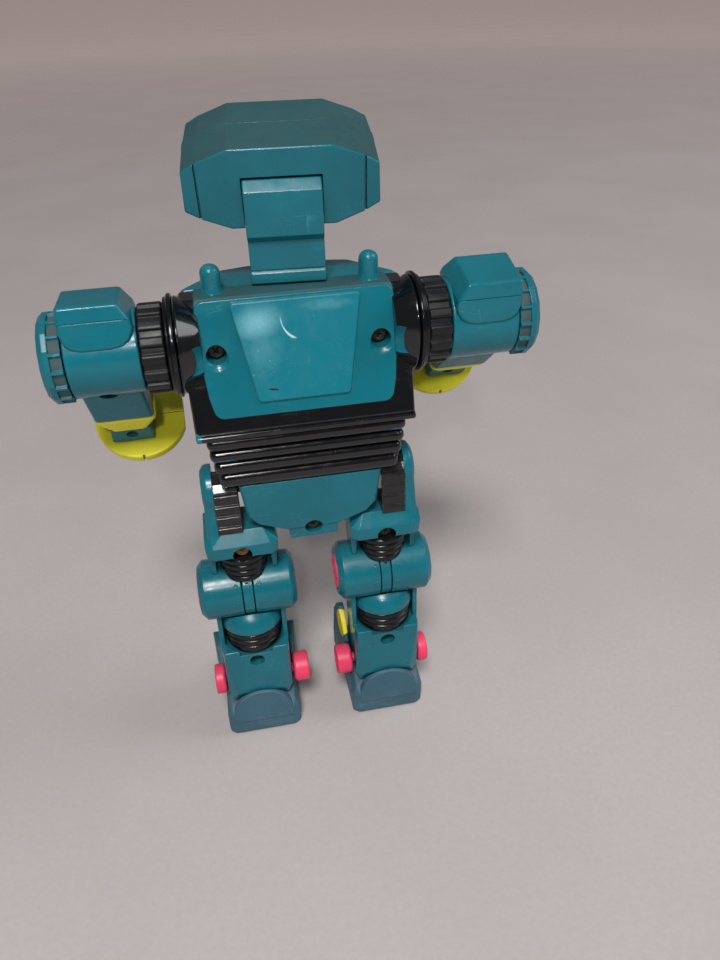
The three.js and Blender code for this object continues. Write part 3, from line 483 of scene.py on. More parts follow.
# ---------------------------------------------------------------- procedural materials
class Net:
    """A material's node tree and short ways to add nodes to it."""

    def __init__(self, name):
        self.material = bpy.data.materials.new(name)
        self.material.use_nodes = True
        self.tree = self.material.node_tree
        self.tree.nodes.clear()
        self.obj = self.add("ShaderNodeTexCoord").outputs["Object"]

    def add(self, kind, inputs=None, **props):
        node = self.tree.nodes.new(kind)
        for key, value in props.items():
            setattr(node, key, value)
        for key, value in (inputs or {}).items():
            if isinstance(value, bpy.types.NodeSocket):
                self.tree.links.new(value, node.inputs[key])
            else:
                node.inputs[key].default_value = value
        return node

    def math(self, operation, a, b=0.0, clamp=False):
        return self.add("ShaderNodeMath", {0: a, 1: b, 2: 0.0}, operation=operation,
                        use_clamp=clamp).outputs[0]

    def plus(self, a, b, clamp=False):
        return self.math("ADD", a, b, clamp)

    def minus(self, a, b):
        return self.math("SUBTRACT", a, b)

    def times(self, *values):
        return functools.reduce(lambda a, b: self.math("MULTIPLY", a, b), values)

    def most(self, *values):
        return functools.reduce(lambda a, b: self.math("MAXIMUM", a, b), values)

    def vector(self, operation, a, b=(0, 0, 0)):
        node = self.add("ShaderNodeVectorMath", {0: a, 1: b}, operation=operation)
        scalar = operation in ("LENGTH", "DOT_PRODUCT")
        return node.outputs["Value" if scalar else "Vector"]

    def noise(self, scale, detail=3.0, rough=0.55, vector=None, distortion=0.0):
        return self.add("ShaderNodeTexNoise", {
            "Vector": vector or self.obj, "Scale": scale, "Detail": detail,
            "Roughness": rough, "Distortion": distortion}).outputs["Fac"]

    def ramp(self, value, low, high, to=(0.0, 1.0), kind="SMOOTHSTEP"):
        """Map low..high to the `to` range, clamped."""
        return self.add("ShaderNodeMapRange", {
            "Value": value, "From Min": low, "From Max": high, "To Min": to[0],
            "To Max": to[1]}, interpolation_type=kind).outputs["Result"]

    def mix(self, factor, a, b):
        a, b = (c if isinstance(c, bpy.types.NodeSocket) else (*c, 1.0) for c in (a, b))
        # sockets 6, 7 and output 2 are the colour ones
        return self.add("ShaderNodeMix", {0: factor, 6: a, 7: b}, data_type="RGBA").outputs[2]

    def xyz(self, vector):
        return self.add("ShaderNodeSeparateXYZ", {0: vector}).outputs

    def blob(self, centre, radii, soft, wobble, grain=420.0, turn=None):
        """Mask of an ellipsoid in drawing mm, its rim made uneven by wobble at a grain."""
        x, y, z = centre
        p = self.vector("SUBTRACT", self.obj, (x * MM, (y - MID_Y) * MM, height(z)))
        if turn is not None:
            p = self.add("ShaderNodeVectorRotate", {"Vector": p, "Angle": math.radians(turn)},
                         rotation_type="Y_AXIS").outputs[0]
        d = self.vector("LENGTH", self.vector("DIVIDE", p, tuple(r * MM for r in radii)))
        if wobble:
            d = self.plus(d, self.times(self.minus(self.noise(grain, 2.0), 0.5), wobble * 2))
        return self.ramp(d, 1.0, 1.0 - soft)

    def tint(self, mask, colour):
        self.colour = self.mix(mask, self.colour, colour)

    def roughen(self, mask, amount, clamp=False):
        self.rough = self.plus(self.rough, self.times(mask, amount), clamp)

    def surface(self, inputs):
        shader = self.add("ShaderNodeBsdfPrincipled", inputs)
        self.add("ShaderNodeOutputMaterial", {0: shader.outputs[0]})
        return self.material


def height(z):
    """Drawing height in mm to scene height in metres."""
    return (z - SOLE_Z) * MM


def shade(colour, gain, lift=0.0):
    return tuple(c * gain + lift for c in colour)


def plastic(name, base, *, rough, dust=0.25, dust_tint=(0.30, 0.27, 0.25), scratch=0.35,
            grime_and_shade=0.5, grime_and_shade_tint=(0.02, 0.022, 0.02), wear=0.35, wear_tint=None,
            mottle=0.10, bump=0.25, coat=0.0, scuff=0.3, grain=1.0, marks=None):
    """Moulded plastic. The amounts set how strongly each layer shows: dust on upward faces,
    fine scratches, grime with painted shade in corners, wear on edges, mottled colour and hazy
    scuffs. grain is the height of the fine texture; marks adds what is special to one part."""
    n = Net(name)
    normal = n.add("ShaderNodeNewGeometry").outputs["Normal"]
    # coarse, middle and fine unevenness
    big = n.noise(scale=45, detail=2.0)
    mid = n.noise(scale=260, detail=4.0)
    n.fine = n.noise(scale=1500, detail=3.0)
    n.colour = n.mix(n.ramp(big, 0.3, 0.7), shade(base, 1 - mottle), shade(base, 1 + mottle))
    n.tint(n.ramp(mid, 0.35, 0.75, to=(0.0, 0.35)), shade(base, 0.86))
    # rounded edges and the rub on them
    soft = n.add("ShaderNodeBevel", {"Radius": 0.3 * MM}, samples=6).outputs["Normal"]
    n.edge = n.ramp(n.vector("DOT_PRODUCT", soft, normal), 0.985, 0.90)
    rub = n.times(n.edge, n.ramp(mid, 0.38, 0.62), wear)
    # fine scratches: noise stretched along three directions (rotation, scale), broken up
    strokes = []
    for rotation, scale in (((0.4, 0.2, 0.5), (1500, 70, 90)),
                            ((0.1, 0.9, -0.7), (80, 1300, 60)),
                            ((1.2, 0.3, 0.2), (60, 90, 1700))):
        along = n.add("ShaderNodeMapping", {
            "Vector": n.obj, "Rotation": rotation, "Scale": scale}).outputs["Vector"]
        stroke = n.noise(scale=1.0, detail=1.0, rough=0.5, vector=along)
        strokes.append(n.ramp(n.math("ABSOLUTE", n.minus(stroke, 0.5)), 0.012, 0.002))
    where = n.ramp(n.noise(scale=110, detail=3.0, rough=0.6), 0.52, 0.68)
    lines = n.times(n.most(*strokes), where, scratch)
    # hazy patches, settled dust, dust specks, dirt and painted shade in corners
    haze = n.times(
        n.ramp(n.noise(scale=75, detail=5.0, rough=0.7, distortion=0.6), 0.52, 0.72),
        n.ramp(n.fine, 0.35, 0.65, to=(0.4, 1.0)), scuff)
    up = n.ramp(n.xyz(normal)[2], 0.25, 0.95)
    settled = n.times(up, n.ramp(mid, 0.30, 0.75, to=(0.55, 1.0)), dust)
    specks = n.times(n.ramp(n.noise(scale=2600, detail=1.0), 0.70, 0.76),
                     n.ramp(mid, 0.4, 0.6), dust * 1.2)
    # painted shade: ambient occlusion darkens the colour in corners and hollows, where shade
    # falls, mixed with dirt
    hollow = n.add("ShaderNodeAmbientOcclusion", {"Distance": 2.2 * MM},
                   samples=4).outputs["AO"]
    dirt_and_shade = n.times(n.ramp(hollow, 0.80, 0.30),
                   n.ramp(n.noise(scale=500, detail=4.0), 0.25, 0.6, to=(0.5, 1.0)), grime_and_shade)
    # layers of colour, from the bottom up
    n.tint(rub, wear_tint or shade(base, 1.5, 0.05))
    n.tint(lines, tuple(min(1, c) for c in shade(base, 1.8, 0.05)))
    n.tint(n.times(haze, 0.30), shade(base, 1.2, 0.03))
    # corners and hollows darkened: painted shade mixed with dirt
    n.tint(dirt_and_shade, grime_and_shade_tint)
    n.tint(n.most(settled, specks), dust_tint)
    n.rough = n.plus(rough, n.ramp(mid, 0.3, 0.7, to=(-0.04, 0.06)))
    n.roughen(haze, 0.30)
    n.roughen(n.most(lines, dirt_and_shade), 0.25)
    n.roughen(settled, 0.45, clamp=True)
    # height: fine grain, cut scratches, slow waviness
    n.height = n.plus(n.times(n.fine, 0.12 * grain), n.times(lines, -0.8))
    n.height = n.plus(n.height, n.times(n.noise(scale=140, detail=2.0), 0.9))
    n.metal = 0.0
    if marks:
        marks(n)
    bumped = n.add("ShaderNodeBump", {"Strength": bump, "Distance": 0.05 * MM,
                                      "Height": n.height, "Normal": soft}).outputs["Normal"]
    return n.surface({"Base Color": n.colour, "Roughness": n.rough, "Normal": bumped,
                      "Metallic": n.metal, "Specular IOR Level": 0.40,
                      "Coat Weight": coat, "Coat Roughness": 0.08})


TEAL = (0.0035, 0.148, 0.195)
# lit copy of the teal, painted onto the back plate as painted light
TEAL_LIT = (0.0050, 0.190, 0.250)
TEAL_POD = (0.012, 0.100, 0.130)
BLACK = (0.0028, 0.0034, 0.0048)


def plate_marks(n):
    """Raised back plate: paler by painted light, with painted reflection and hazy scuffs, a
    curved scratch and a small nick.
    """
    # painted light: the plate is tinted towards a lit copy of the teal
    n.tint(0.75, TEAL_LIT)
    y = back_y(143)
    # painted reflection mixed with hazy scuffs, strongest at the upper corner
    corner = n.blob((9.8, y, 146.5), (8.0, 12, 5.4), soft=1.0, wobble=0.15, grain=220, turn=-12)
    top = n.blob((-8.0, y, 149.4), (7.5, 12, 1.9), soft=0.9, wobble=0.45, grain=500)
    side = n.blob((9.5, y, 140.5), (6.5, 12, 9.0), soft=1.0, wobble=0.5, grain=380)
    sheen_and_scuffs = n.most(corner, n.times(top, 0.30), n.times(side, 0.28))
    sheen_and_scuffs = n.times(sheen_and_scuffs, n.ramp(n.fine, 0.25, 0.65, to=(0.75, 1.0)))
    # pale tint of the painted reflection and the scuffs
    n.tint(n.times(sheen_and_scuffs, 0.55), (0.28, 0.66, 0.78))
    # curved scratch: part of a circle seen along Y, wider towards its lower end
    x, _, z = n.xyz(n.obj)
    centre_x, centre_z, radius = -1.4 * MM, height(147.2), 5.6 * MM
    dx, dz = n.minus(x, centre_x), n.minus(z, centre_z)
    distance = n.math("SQRT", n.plus(n.times(dx, dx), n.times(dz, dz)))
    width = n.ramp(z, height(145.5), height(142.6), to=(0.16 * MM, 0.42 * MM))
    ring = n.ramp(n.math("ABSOLUTE", n.minus(distance, radius)), width, n.times(width, 0.3))
    part = n.times(n.ramp(z, height(141.9), height(142.5)),
                   n.ramp(z, height(147.8), height(146.2)), n.ramp(x, 0.4 * MM, 1.0 * MM))
    curl = n.times(ring, part)
    n.tint(n.times(curl, 0.75), (0.60, 0.80, 0.85))
    nick = n.blob((7.6, back_y(130.4), 130.6), (1.5, 9, 0.32), soft=0.5, wobble=0.5,
                  grain=1400, turn=6)
    n.tint(nick, (0.008, 0.02, 0.03))
    flecks = n.times(n.ramp(n.noise(scale=900, detail=2.0), 0.66, 0.72),
                     n.blob((9.0, y, 136.5), (10, 14, 10), soft=1.0, wobble=0.0))
    n.tint(n.times(flecks, 0.45), (0.30, 0.55, 0.60))
    n.roughen(n.most(sheen_and_scuffs, curl), 0.22, clamp=True)


def chips(*spots):
    """Places (centre, radii) and edge nicks where teal shows through the black paint."""

    def marks(n):
        blobs = [n.blob(*spot, soft=0.12, wobble=0.30, grain=650) for spot in spots]
        nicks = n.ramp(n.noise(scale=330, detail=3.0, rough=0.6), 0.66, 0.70)
        bare = n.most(*blobs, n.times(n.edge, nicks, 0.35))
        n.tint(bare, shade(TEAL, 1.1))
        n.roughen(bare, 0.12)
        n.height = n.minus(n.height, n.times(bare, 0.9))

    return marks


def boot_marks(n):
    """Paler streaked patches low on both boots."""
    patches = [n.blob((x, -3, 8), (11, 14, 7), soft=0.9, wobble=0.5, grain=160)
               for x in (21, -21)]
    streaks = n.noise(scale=190, detail=5.0, rough=0.65, distortion=0.8)
    pale = n.times(n.most(*patches), n.ramp(streaks, 0.40, 0.62),
                   n.ramp(n.fine, 0.3, 0.7, to=(0.7, 1.0)))
    n.tint(n.times(pale, 0.62), (0.115, 0.235, 0.310))
    n.roughen(pale, 0.08, clamp=True)


def pod_marks(n):
    """One yellow spot on the inner fin of the right boot."""
    spot = n.blob((-8.0, -13.5, 31.5), (4.5, 4.2, 5.4), soft=0.10, wobble=0.12, grain=260)
    n.tint(spot, (0.80, 0.70, 0.020))


def rust(n):
    """Partly metallic, less so where it has rusted."""
    mask = n.ramp(n.noise(scale=900, detail=5.0, rough=0.7), 0.40, 0.62)
    n.tint(n.times(mask, 0.35), (0.07, 0.055, 0.02))
    n.roughen(mask, 0.25, clamp=True)
    n.metal = n.minus(0.55, n.times(mask, 0.4))


# settings shared by the painted parts, and by the two pods
PAINTED = dict(dust=0.04, dust_tint=(0.03, 0.032, 0.036), grime_and_shade=0.15, wear=0.10,
               wear_tint=(0.05, 0.05, 0.055), bump=0.35, coat=0.5)
POD = dict(rough=0.40, dust=0.20, dust_tint=(0.05, 0.09, 0.10), grime_and_shade=0.6, scuff=0.4)

MATERIALS = {
    "teal": plastic("teal_plastic", TEAL, rough=0.20, dust=0.25,
                    dust_tint=(0.030, 0.105, 0.120), grime_and_shade=0.45, scuff=0.25),
    "teal_dark": plastic("teal_plastic_shaded", (0.0085, 0.095, 0.125), rough=0.40,
                         dust=0.15, dust_tint=(0.05, 0.09, 0.10), grime_and_shade=0.6, scuff=0.3),
    "teal_dial": plastic("teal_plastic_dial", TEAL, rough=0.30, dust=0.10,
                         dust_tint=(0.06, 0.11, 0.12), grime_and_shade=0.5,
                         grime_and_shade_tint=(0.05, 0.055, 0.05), wear=0.35, scuff=0.3),
    "pod_left": plastic("teal_plastic_pod", TEAL_POD, **POD),
    "pod_right": plastic("teal_plastic_pod_marked", TEAL_POD, **POD, marks=pod_marks),
    "grubby": plastic("teal_plastic_grubby", (0.050, 0.095, 0.100), rough=0.75, dust=0.5,
                      dust_tint=(0.12, 0.12, 0.11), grime_and_shade=0.7,
                      grime_and_shade_tint=(0.06, 0.06, 0.05), scuff=0.8, grain=3.0, bump=0.6),
    # painted shade with dust: upward faces of the head and the deck get a darker, greyer copy
    # of the teal
    "teal_top": plastic("teal_plastic_shaded_dusty", (0.012, 0.095, 0.110), rough=0.40, dust=0.6,
                        dust_tint=(0.040, 0.080, 0.085), grime_and_shade=0.4, scuff=0.35,
                        scratch=0.25),
    "teal_worn": plastic("teal_plastic_handled", TEAL, rough=0.32, dust=0.30,
                         dust_tint=(0.05, 0.10, 0.11), grime_and_shade=0.85,
                         grime_and_shade_tint=(0.085, 0.085, 0.078), wear=0.7, scuff=0.55),
    "plate": plastic("teal_back_plate", TEAL, rough=0.27, dust=0.2, scuff=0.7, scratch=0.8,
                     marks=plate_marks),
    "paint": plastic("black_paint_frame", BLACK, rough=0.11, scuff=0.25, scratch=0.5,
                     marks=chips(((28.4, 4.6, 119.2), (1.5, 4.0, 2.0)),
                                 ((-28.7, 5.4, 118.7), (0.7, 3.0, 0.7))), **PAINTED),
    "paint_waist": plastic("black_paint_waist", BLACK, rough=0.12, scuff=0.2, scratch=0.4,
                           marks=chips(((22.6, 4.8, 111.5), (3.4, 4.0, 0.75)),
                                       ((-24.6, 4.8, 115.2), (3.2, 4.0, 0.7)),
                                       ((-26.0, 2.0, 113.0), (0.8, 3.0, 1.0))), **PAINTED),
    "paint_hip": plastic("black_paint_hip", BLACK, rough=0.15, dust=0.10, grime_and_shade=0.15,
                         wear=0.3, wear_tint=(0.16, 0.15, 0.15), scuff=0.3, scratch=0.4,
                         bump=0.35, coat=0.5, marks=chips()),
    "gloss": plastic("black_gloss_plastic", BLACK, rough=0.15, dust=0.06,
                     dust_tint=(0.03, 0.032, 0.034), grime_and_shade=0.2, wear=0.15,
                     wear_tint=(0.05, 0.05, 0.05), scuff=0.25),
    "satin": plastic("black_satin_plastic", (0.0055, 0.0068, 0.0080), rough=0.36, dust=0.25,
                     dust_tint=(0.016, 0.019, 0.021), grime_and_shade=0.5,
                     grime_and_shade_tint=(0.018, 0.019, 0.020), wear=0.5,
                     wear_tint=(0.07, 0.066, 0.063), scuff=0.5, grain=2.0),
    "rubber": plastic("black_ring_plastic", (0.0045, 0.0052, 0.0066), rough=0.18, dust=0.12,
                      dust_tint=(0.040, 0.042, 0.046), grime_and_shade=0.4,
                      grime_and_shade_tint=(0.03, 0.028, 0.026), wear=0.2,
                      wear_tint=(0.06, 0.06, 0.06), scuff=0.3),
    "yellow": plastic("yellow_plastic", (0.84, 0.80, 0.030), rough=0.34, dust=0.08,
                      dust_tint=(0.42, 0.38, 0.18), grime_and_shade=0.85,
                      grime_and_shade_tint=(0.10, 0.105, 0.04), wear=0.4,
                      wear_tint=(0.90, 0.88, 0.28), scuff=0.2, mottle=0.06),
    "pink": plastic("pink_plastic", (0.86, 0.050, 0.135), rough=0.36, dust=0.12,
                    dust_tint=(0.55, 0.20, 0.25), grime_and_shade=0.7, grime_and_shade_tint=(0.22, 0.015, 0.05),
                    wear=0.5, wear_tint=(0.85, 0.16, 0.24), scuff=0.3, mottle=0.08),
    "boot": plastic("boot_plastic", (0.042, 0.125, 0.178), rough=0.46, dust=0.45,
                    dust_tint=(0.17, 0.21, 0.235), grime_and_shade=0.6, grime_and_shade_tint=(0.02, 0.035, 0.04),
                    wear=0.8, wear_tint=(0.12, 0.25, 0.32), scuff=0.9, scratch=0.6,
                    bump=0.4, marks=boot_marks),
    "steel": plastic("plated_screw_steel", (0.035, 0.050, 0.042), rough=0.45, dust=0.3,
                     dust_tint=(0.035, 0.055, 0.045), grime_and_shade=0.9,
                     grime_and_shade_tint=(0.02, 0.03, 0.028), wear=0.6, wear_tint=(0.5, 0.48, 0.42),
                     scratch=0.6, marks=rust),
    "rusty": plastic("rusted_screw_steel", (0.30, 0.15, 0.045), rough=0.55, dust=0.2,
                     dust_tint=(0.25, 0.14, 0.06), grime_and_shade=0.4, grime_and_shade_tint=(0.05, 0.03, 0.015),
                     wear=0.5, wear_tint=(0.5, 0.3, 0.1), scratch=0.3),
    "visor": plastic("dark_polished_plastic", (0.006, 0.008, 0.012), rough=0.08, dust=0.05,
                     grime_and_shade=0.2, wear=0.1, wear_tint=(0.04, 0.05, 0.06), scuff=0.15,
                     coat=0.4),
}


# ---------------------------------------------------------------- from solid to shown piece
def piece(name, solid, materials, body, cad_piece):
    """Shown object; materials are space-separated keys, one for each slot."""
    mesh = bpy.data.meshes.new(name)
    points = (solid.points - np.array([0, MID_Y, SOLE_Z])) * MM
    mesh.from_pydata(points.tolist(), [], solid.faces)
    for key in materials.split():
        mesh.materials.append(MATERIALS[key])
    mesh.polygons.foreach_set("material_index", np.array(solid.slots, dtype=np.int32))
    bm = bmesh.new()
    bm.from_mesh(mesh)
    bmesh.ops.remove_doubles(bm, verts=bm.verts, dist=2e-6)
    bmesh.ops.dissolve_degenerate(bm, edges=bm.edges, dist=1e-6)
    bm.to_mesh(mesh)
    bm.free()
    mesh.shade_smooth()
    mesh.set_sharp_from_angle(angle=math.radians(34))
    obj = bpy.data.objects.new(name, mesh)
    scene.collection.objects.link(obj)
    normals = obj.modifiers.new("normals", "WEIGHTED_NORMAL")
    normals.keep_sharp = True
    normals.weight = 60
    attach(obj, body)
    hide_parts(cad_piece)


def limb_piece(side, name, solid, materials, body, cad_piece):
    """Piece drawn for the left side, mirrored for the right, with the side in its names."""
    piece(f"{name}_{side}", mirror(solid, dict(SIDES)[side]), materials, f"{body}_{side}",
          f"{cad_piece}_{side}")


# ---------------------------------------------------------------- torso
def screw_rods(radius, y0, y1):
    return [rod("Y", radius, y0, y1, (s * SCREW_X, SCREW_Z)) for s in (1, -1)]


def shoulder_rods(radius, x0, x1):
    return [rod("X", radius, *sorted((s * x0, s * x1)), SHOULDER) for s in (1, -1)]


def neck_hole():
    return rod("Z", 4.4, DECK_Z - 6, DECK_Z + 4, (0, NECK_Y))


def back_pegs():
    """Round pegs on the deck, each with a foot that runs into the panel."""
    dome = [(PEG_R * math.cos(math.radians(t)), PEG_TOP - 2.2 + 2.2 * math.sin(math.radians(t)))
            for t in range(12, 85, 12)]
    profile = [(0, 147), (PEG_R + 0.6, 147), (PEG_R + 0.6, DECK_Z - 0.6, 1.2),
               (PEG_R, DECK_Z + 1.2, 1.5), (PEG_R, PEG_TOP - 2.2)] + dome + [(0, PEG_TOP)]
    foot = ((PEG_Y, DECK_Z + 0.3), (back_y(148) + 0.2, 147.6), (PEG_Y, 146),
            (back_y(147.6) - 0.6, 146.0))
    pegs = []
    for s in (1, -1):
        pegs.append(lathe(profile, 56, 0.001, "Z", 5).at(s * PEG_X, PEG_Y, 0))
        pegs.append(hull([(s * PEG_X + dx, y, z) for dx in (-2.7, 2.7) for y, z in foot],
                         0.7, 4))
    return pegs


def torso_back():
    bottom, top = TORSO_Z, DECK_Z
    split = SPLIT_Y + GAP / 2
    # black frame: a tray that falls away from the panel to a rolled rim at the bottom
    tray = hull(pairs(
        (BASE_HALF, back_y(bottom) - 1.2, bottom),
        (BASE_HALF, split, bottom),
        (BASE_HALF - 0.3, back_y(bottom) - 1.0, bottom + 2.0),
        (TOP_HALF - 0.2, back_y(top) - 1.6, top - 2.2),
        (TOP_HALF - 1.6, back_y(top) - 1.9, top - 0.45),
        (TOP_HALF, split, top - 2),
        (TOP_HALF - 1.6, split, top - 0.45),
        (24.4, back_y(bottom + 4.5) - 0.3, bottom + 4.5),
        (24.4, back_y(top - 3) - 0.3, top - 3)), 0.7, 4).slot(1)
    y = back_y(bottom)
    section = ((y, bottom), (y - 0.1, bottom + 1.5), (y - 4.5, bottom), (y - 4.5, bottom + 3.0))
    rim = hull([(x, y, z) for x in (-BASE_HALF, BASE_HALF) for y, z in section],
               0.55, 4).slot(1)
    cavity = hull(pairs(
        (BASE_HALF - WALL, back_y(bottom + WALL) - WALL - 1.2, bottom + WALL),
        (TOP_HALF - WALL, back_y(top - WALL) - WALL - 1.6, top - WALL),
        (BASE_HALF - WALL, SPLIT_Y - 1, bottom + WALL),
        (TOP_HALF - WALL, SPLIT_Y - 1, top - WALL)))
    # teal panel: half width and height above the screws along its curved side
    side = [(24.9, 12.6), (24.8, 4.0), (24.5, -4.0), (23.9, -10.0), (22.6, -15.4)]
    panel = slab([(-x, z) for x, z in side] + side[::-1], 2.6,
                 [(-3.0, -0.25)] + edge_levels(-0.4, 0.45, 0.4), on_back, 8)
    plate = slab([(-16.4, 11.7), (16.4, 11.7), (11.7, -12.2), (-11.7, -12.2)], 1.1,
                 [(-0.5, -0.15), (0.5, 0.0)] + edge_levels(0.6, 1.3, 0.55, 5),
                 on_back).slot(2)
    edge_y = back_y(top - 1.4) + 0.1, back_y(top - 4) + 0.1
    # the deck takes the darker top material: painted shade with dust
    deck = hull([(x, y, z) for y in (back_y(top) - 0.7, split) for x in (-24.5, 24.5)
                 for z in (top - 4, top)]
                + pairs((24.9, edge_y[0], top - 1.4), (24.9, edge_y[1], top - 4)),
                0.6, 4).slot(3)
    # flared boss round the shoulder shaft, rear half only
    boss = lathe([(0, 24.2), (8.9, 24.2), (9.7, 25.2, 1.0), (12.2, 29.0, 0.6),
                  (12.2, TOP_HALF, 0.1), (0, TOP_HALF)], 96, 0.0001, "X").at(0, *SHOULDER)
    boss = common(boss, box(20, 31, split, 20, 100, 170)).slot(1)
    # screw bore with a small broken edge at its mouth
    mouth, floor_y, lip = back_y(SCREW_Z) + 0.45, -5.2, 0.35
    bore = lathe([(0, floor_y), (SCREW_BORE_R - 0.15, floor_y), (SCREW_BORE_R, floor_y + 0.15),
                  (SCREW_BORE_R, mouth - lip), (SCREW_BORE_R + lip, mouth),
                  (SCREW_BORE_R + lip + 4, mouth + 4), (0, mouth + 4)], 48)
    rear = boolean(
        tray, plus(rim), minus(cavity), plus(panel, deck, plate, *back_pegs()),
        plus(boss, boss.flip(), *screw_rods(4.1, split, -1.2)),
        minus(*[bore.at(s * SCREW_X, 0, SCREW_Z) for s in (1, -1)],
              *screw_rods(1.5, -20, 0),
              *shoulder_rods(SHAFT_R + GAP, 24, 36),
              *shoulder_rods(3.6, 24.6, 26.4),
              neck_hole(), rod("Z", 6.4, bottom - 3, bottom + 5, (0, WAIST_Y))))
    piece("torso_back", rear, "teal paint plate teal_top", "torso", "torso_rear_shell")


def torso_chest():
    bottom, top = TORSO_Z, DECK_Z
    split = SPLIT_Y - GAP / 2
    body = hull(pairs(
        (BASE_HALF, split, bottom), (TOP_HALF, split, top - 2),
        (TOP_HALF - 1.6, split, top - 0.3), (24.5, -19.5, bottom), (19, -19.5, top),
        (17.2, -27, top - 0.6), (9.5, -29.8, top - 0.9), (22, -25.5, bottom),
        (18, -28, bottom), (22.5, -28.5, 144), (12, -33.2, 143.5), (12, -30.5, 126)), 0.8, 4)
    cavity = hull(pairs(
        (BASE_HALF - WALL, split + 1, bottom + WALL), (TOP_HALF - WALL, split + 1, top - WALL),
        (22.3, -18.8, bottom + WALL), (16.8, -18.6, top - WALL), (9, -26, top - 2.6),
        (16, -25.6, bottom + WALL), (20, -25.8, 143), (11, -27.4, 143)))
    recess = slab(CHEST, 0.8, [(-1, 0), (14, 0)], lambda u, v, h: (u, -28.6 - h, v))
    vents = [hull([(s * x, y, 124.0 + i * 2.6 + dz)
                   for x, y in ((17.2, -34), (23.6, -34), (17.6, -27.4), (22.0, -25.6))
                   for dz in (-0.45, 0.45)]) for s in (1, -1) for i in range(3)]
    groove = hull([(x, y, z) for x in (-30, 30) for y, z in
                   ((-40, 121.0), (-40, 121.7), (-27.0, 121.2), (-27.0, 121.5))])
    front = boolean(
        body, minus(cavity), plus(*screw_rods(3.6, -24, split)),
        minus(recess, *screw_rods(1.25, -22.5, -10), *shoulder_rods(SHAFT_R + GAP, 24, 36),
              neck_hole(), *vents, groove))
    front = by_normal(front, lambda centre, normal: (
        abs(normal[0]) > 0.6 and centre[1] > -18.5 and abs(centre[0]) > 22.5))
    piece("torso_chest", front, "teal paint", "torso", "torso_front_shell")


def chest_panel():
    """Raised panel on the chest with a cup for the lens and three slots below it."""
    panel = slab(CHEST, 0.8, [(0, 0.5), (2.4, 0.5), (2.8, 0.6), (4.4, 2.9), (4.5, 3.3)],
                 lambda u, v, h: (u, -28.9 - h, v))
    cup = lathe([(0, -30), (5.2, -30), (5.2, -33.7, 0.35), (0, -33.7)], 48, 0.001)
    slots = [hull([(x, y, 130.9 + i * 1.9 + dz)
                   for x, y in ((-7.2, -40), (7.2, -40), (-7.0, -32.2), (7.0, -32.2))
                   for dz in (-0.45, 0.45)], 0.2) for i in range(3)]
    panel = cut(union(panel, cup.at(0, 0, CHEST_LENS_Z)),
                rod("Y", 4.3, -40, -31.2, (0, CHEST_LENS_Z)), *slots)
    piece("chest_panel", panel, "gloss", "torso", "chest_plate")


def chest_jewel():
    lens = lathe([(0, -31.5), (4.0, -31.5, 0.2), (4.0, -33.0, 0.3), (3.2, -33.9, 1.2),
                  (1.6, -34.5, 2.5), (0, -34.6)], 56, 0.001).at(0, 0, CHEST_LENS_Z)
    piece("chest_jewel", lens, "pink", "torso", "chest_lens")


def back_screw(side, sign):
    solid = screw(13.2).rot("Y", 25 * sign).at(sign * SCREW_X, -2.9, SCREW_Z)
    piece("back_screw_" + side, solid, "steel", "torso", "torso_screw_" + side)


def collar(side, sign):
    x0, step_r = TOP_HALF + GAP, COLLAR_STEP_R
    ring = lathe([(0, x0), (COLLAR_R - 0.9, x0), (COLLAR_R, x0 + 0.35, 0.35),
                  (COLLAR_R, x0 + 1.2, 0.35), (step_r + 0.05, x0 + 1.6, 0.2),
                  (step_r, x0 + 1.7, 0.2), (step_r, 31.9, 0.35), (step_r - 1.0, 32.1, 0.2),
                  (DRUM_R - 1.4, 32.1), (0, 32.1)], 96, 0.001, "X", 5).at(0, *SHOULDER)
    ring = cut(ring, rod("X", SHAFT_R + GAP, 25, 36, SHOULDER))
    piece("collar_" + side, mirror(ring, sign), "gloss", "torso", "shoulder_collar_" + side)


# ---------------------------------------------------------------- arms
# Parts below the shoulder are drawn hanging along -Z from (0, 0), then swung by hang().
def hang(solid, side):
    return solid.rot("X", ARM_DROP[side] - 90).at(0, *SHOULDER)


def drum(side):
    solid = fluted(DRUM_R, 0.85, 0.54, DRUM_X0, DRUM_X1, edge=0.4, soft=0.10, edge_in=0.5)
    solid = union(solid.at(0, *SHOULDER),
                  rod("X", SHAFT_R, 25.6, DRUM_X0 + 0.2, SHOULDER),
                  rod("X", 3.2, 25.0, 26.1, SHOULDER),
                  rod("X", 3.6, DRUM_X1 - 0.2, 52, SHOULDER))
    limb_piece(side, "drum", solid, "satin", "arm", "shoulder_drum")


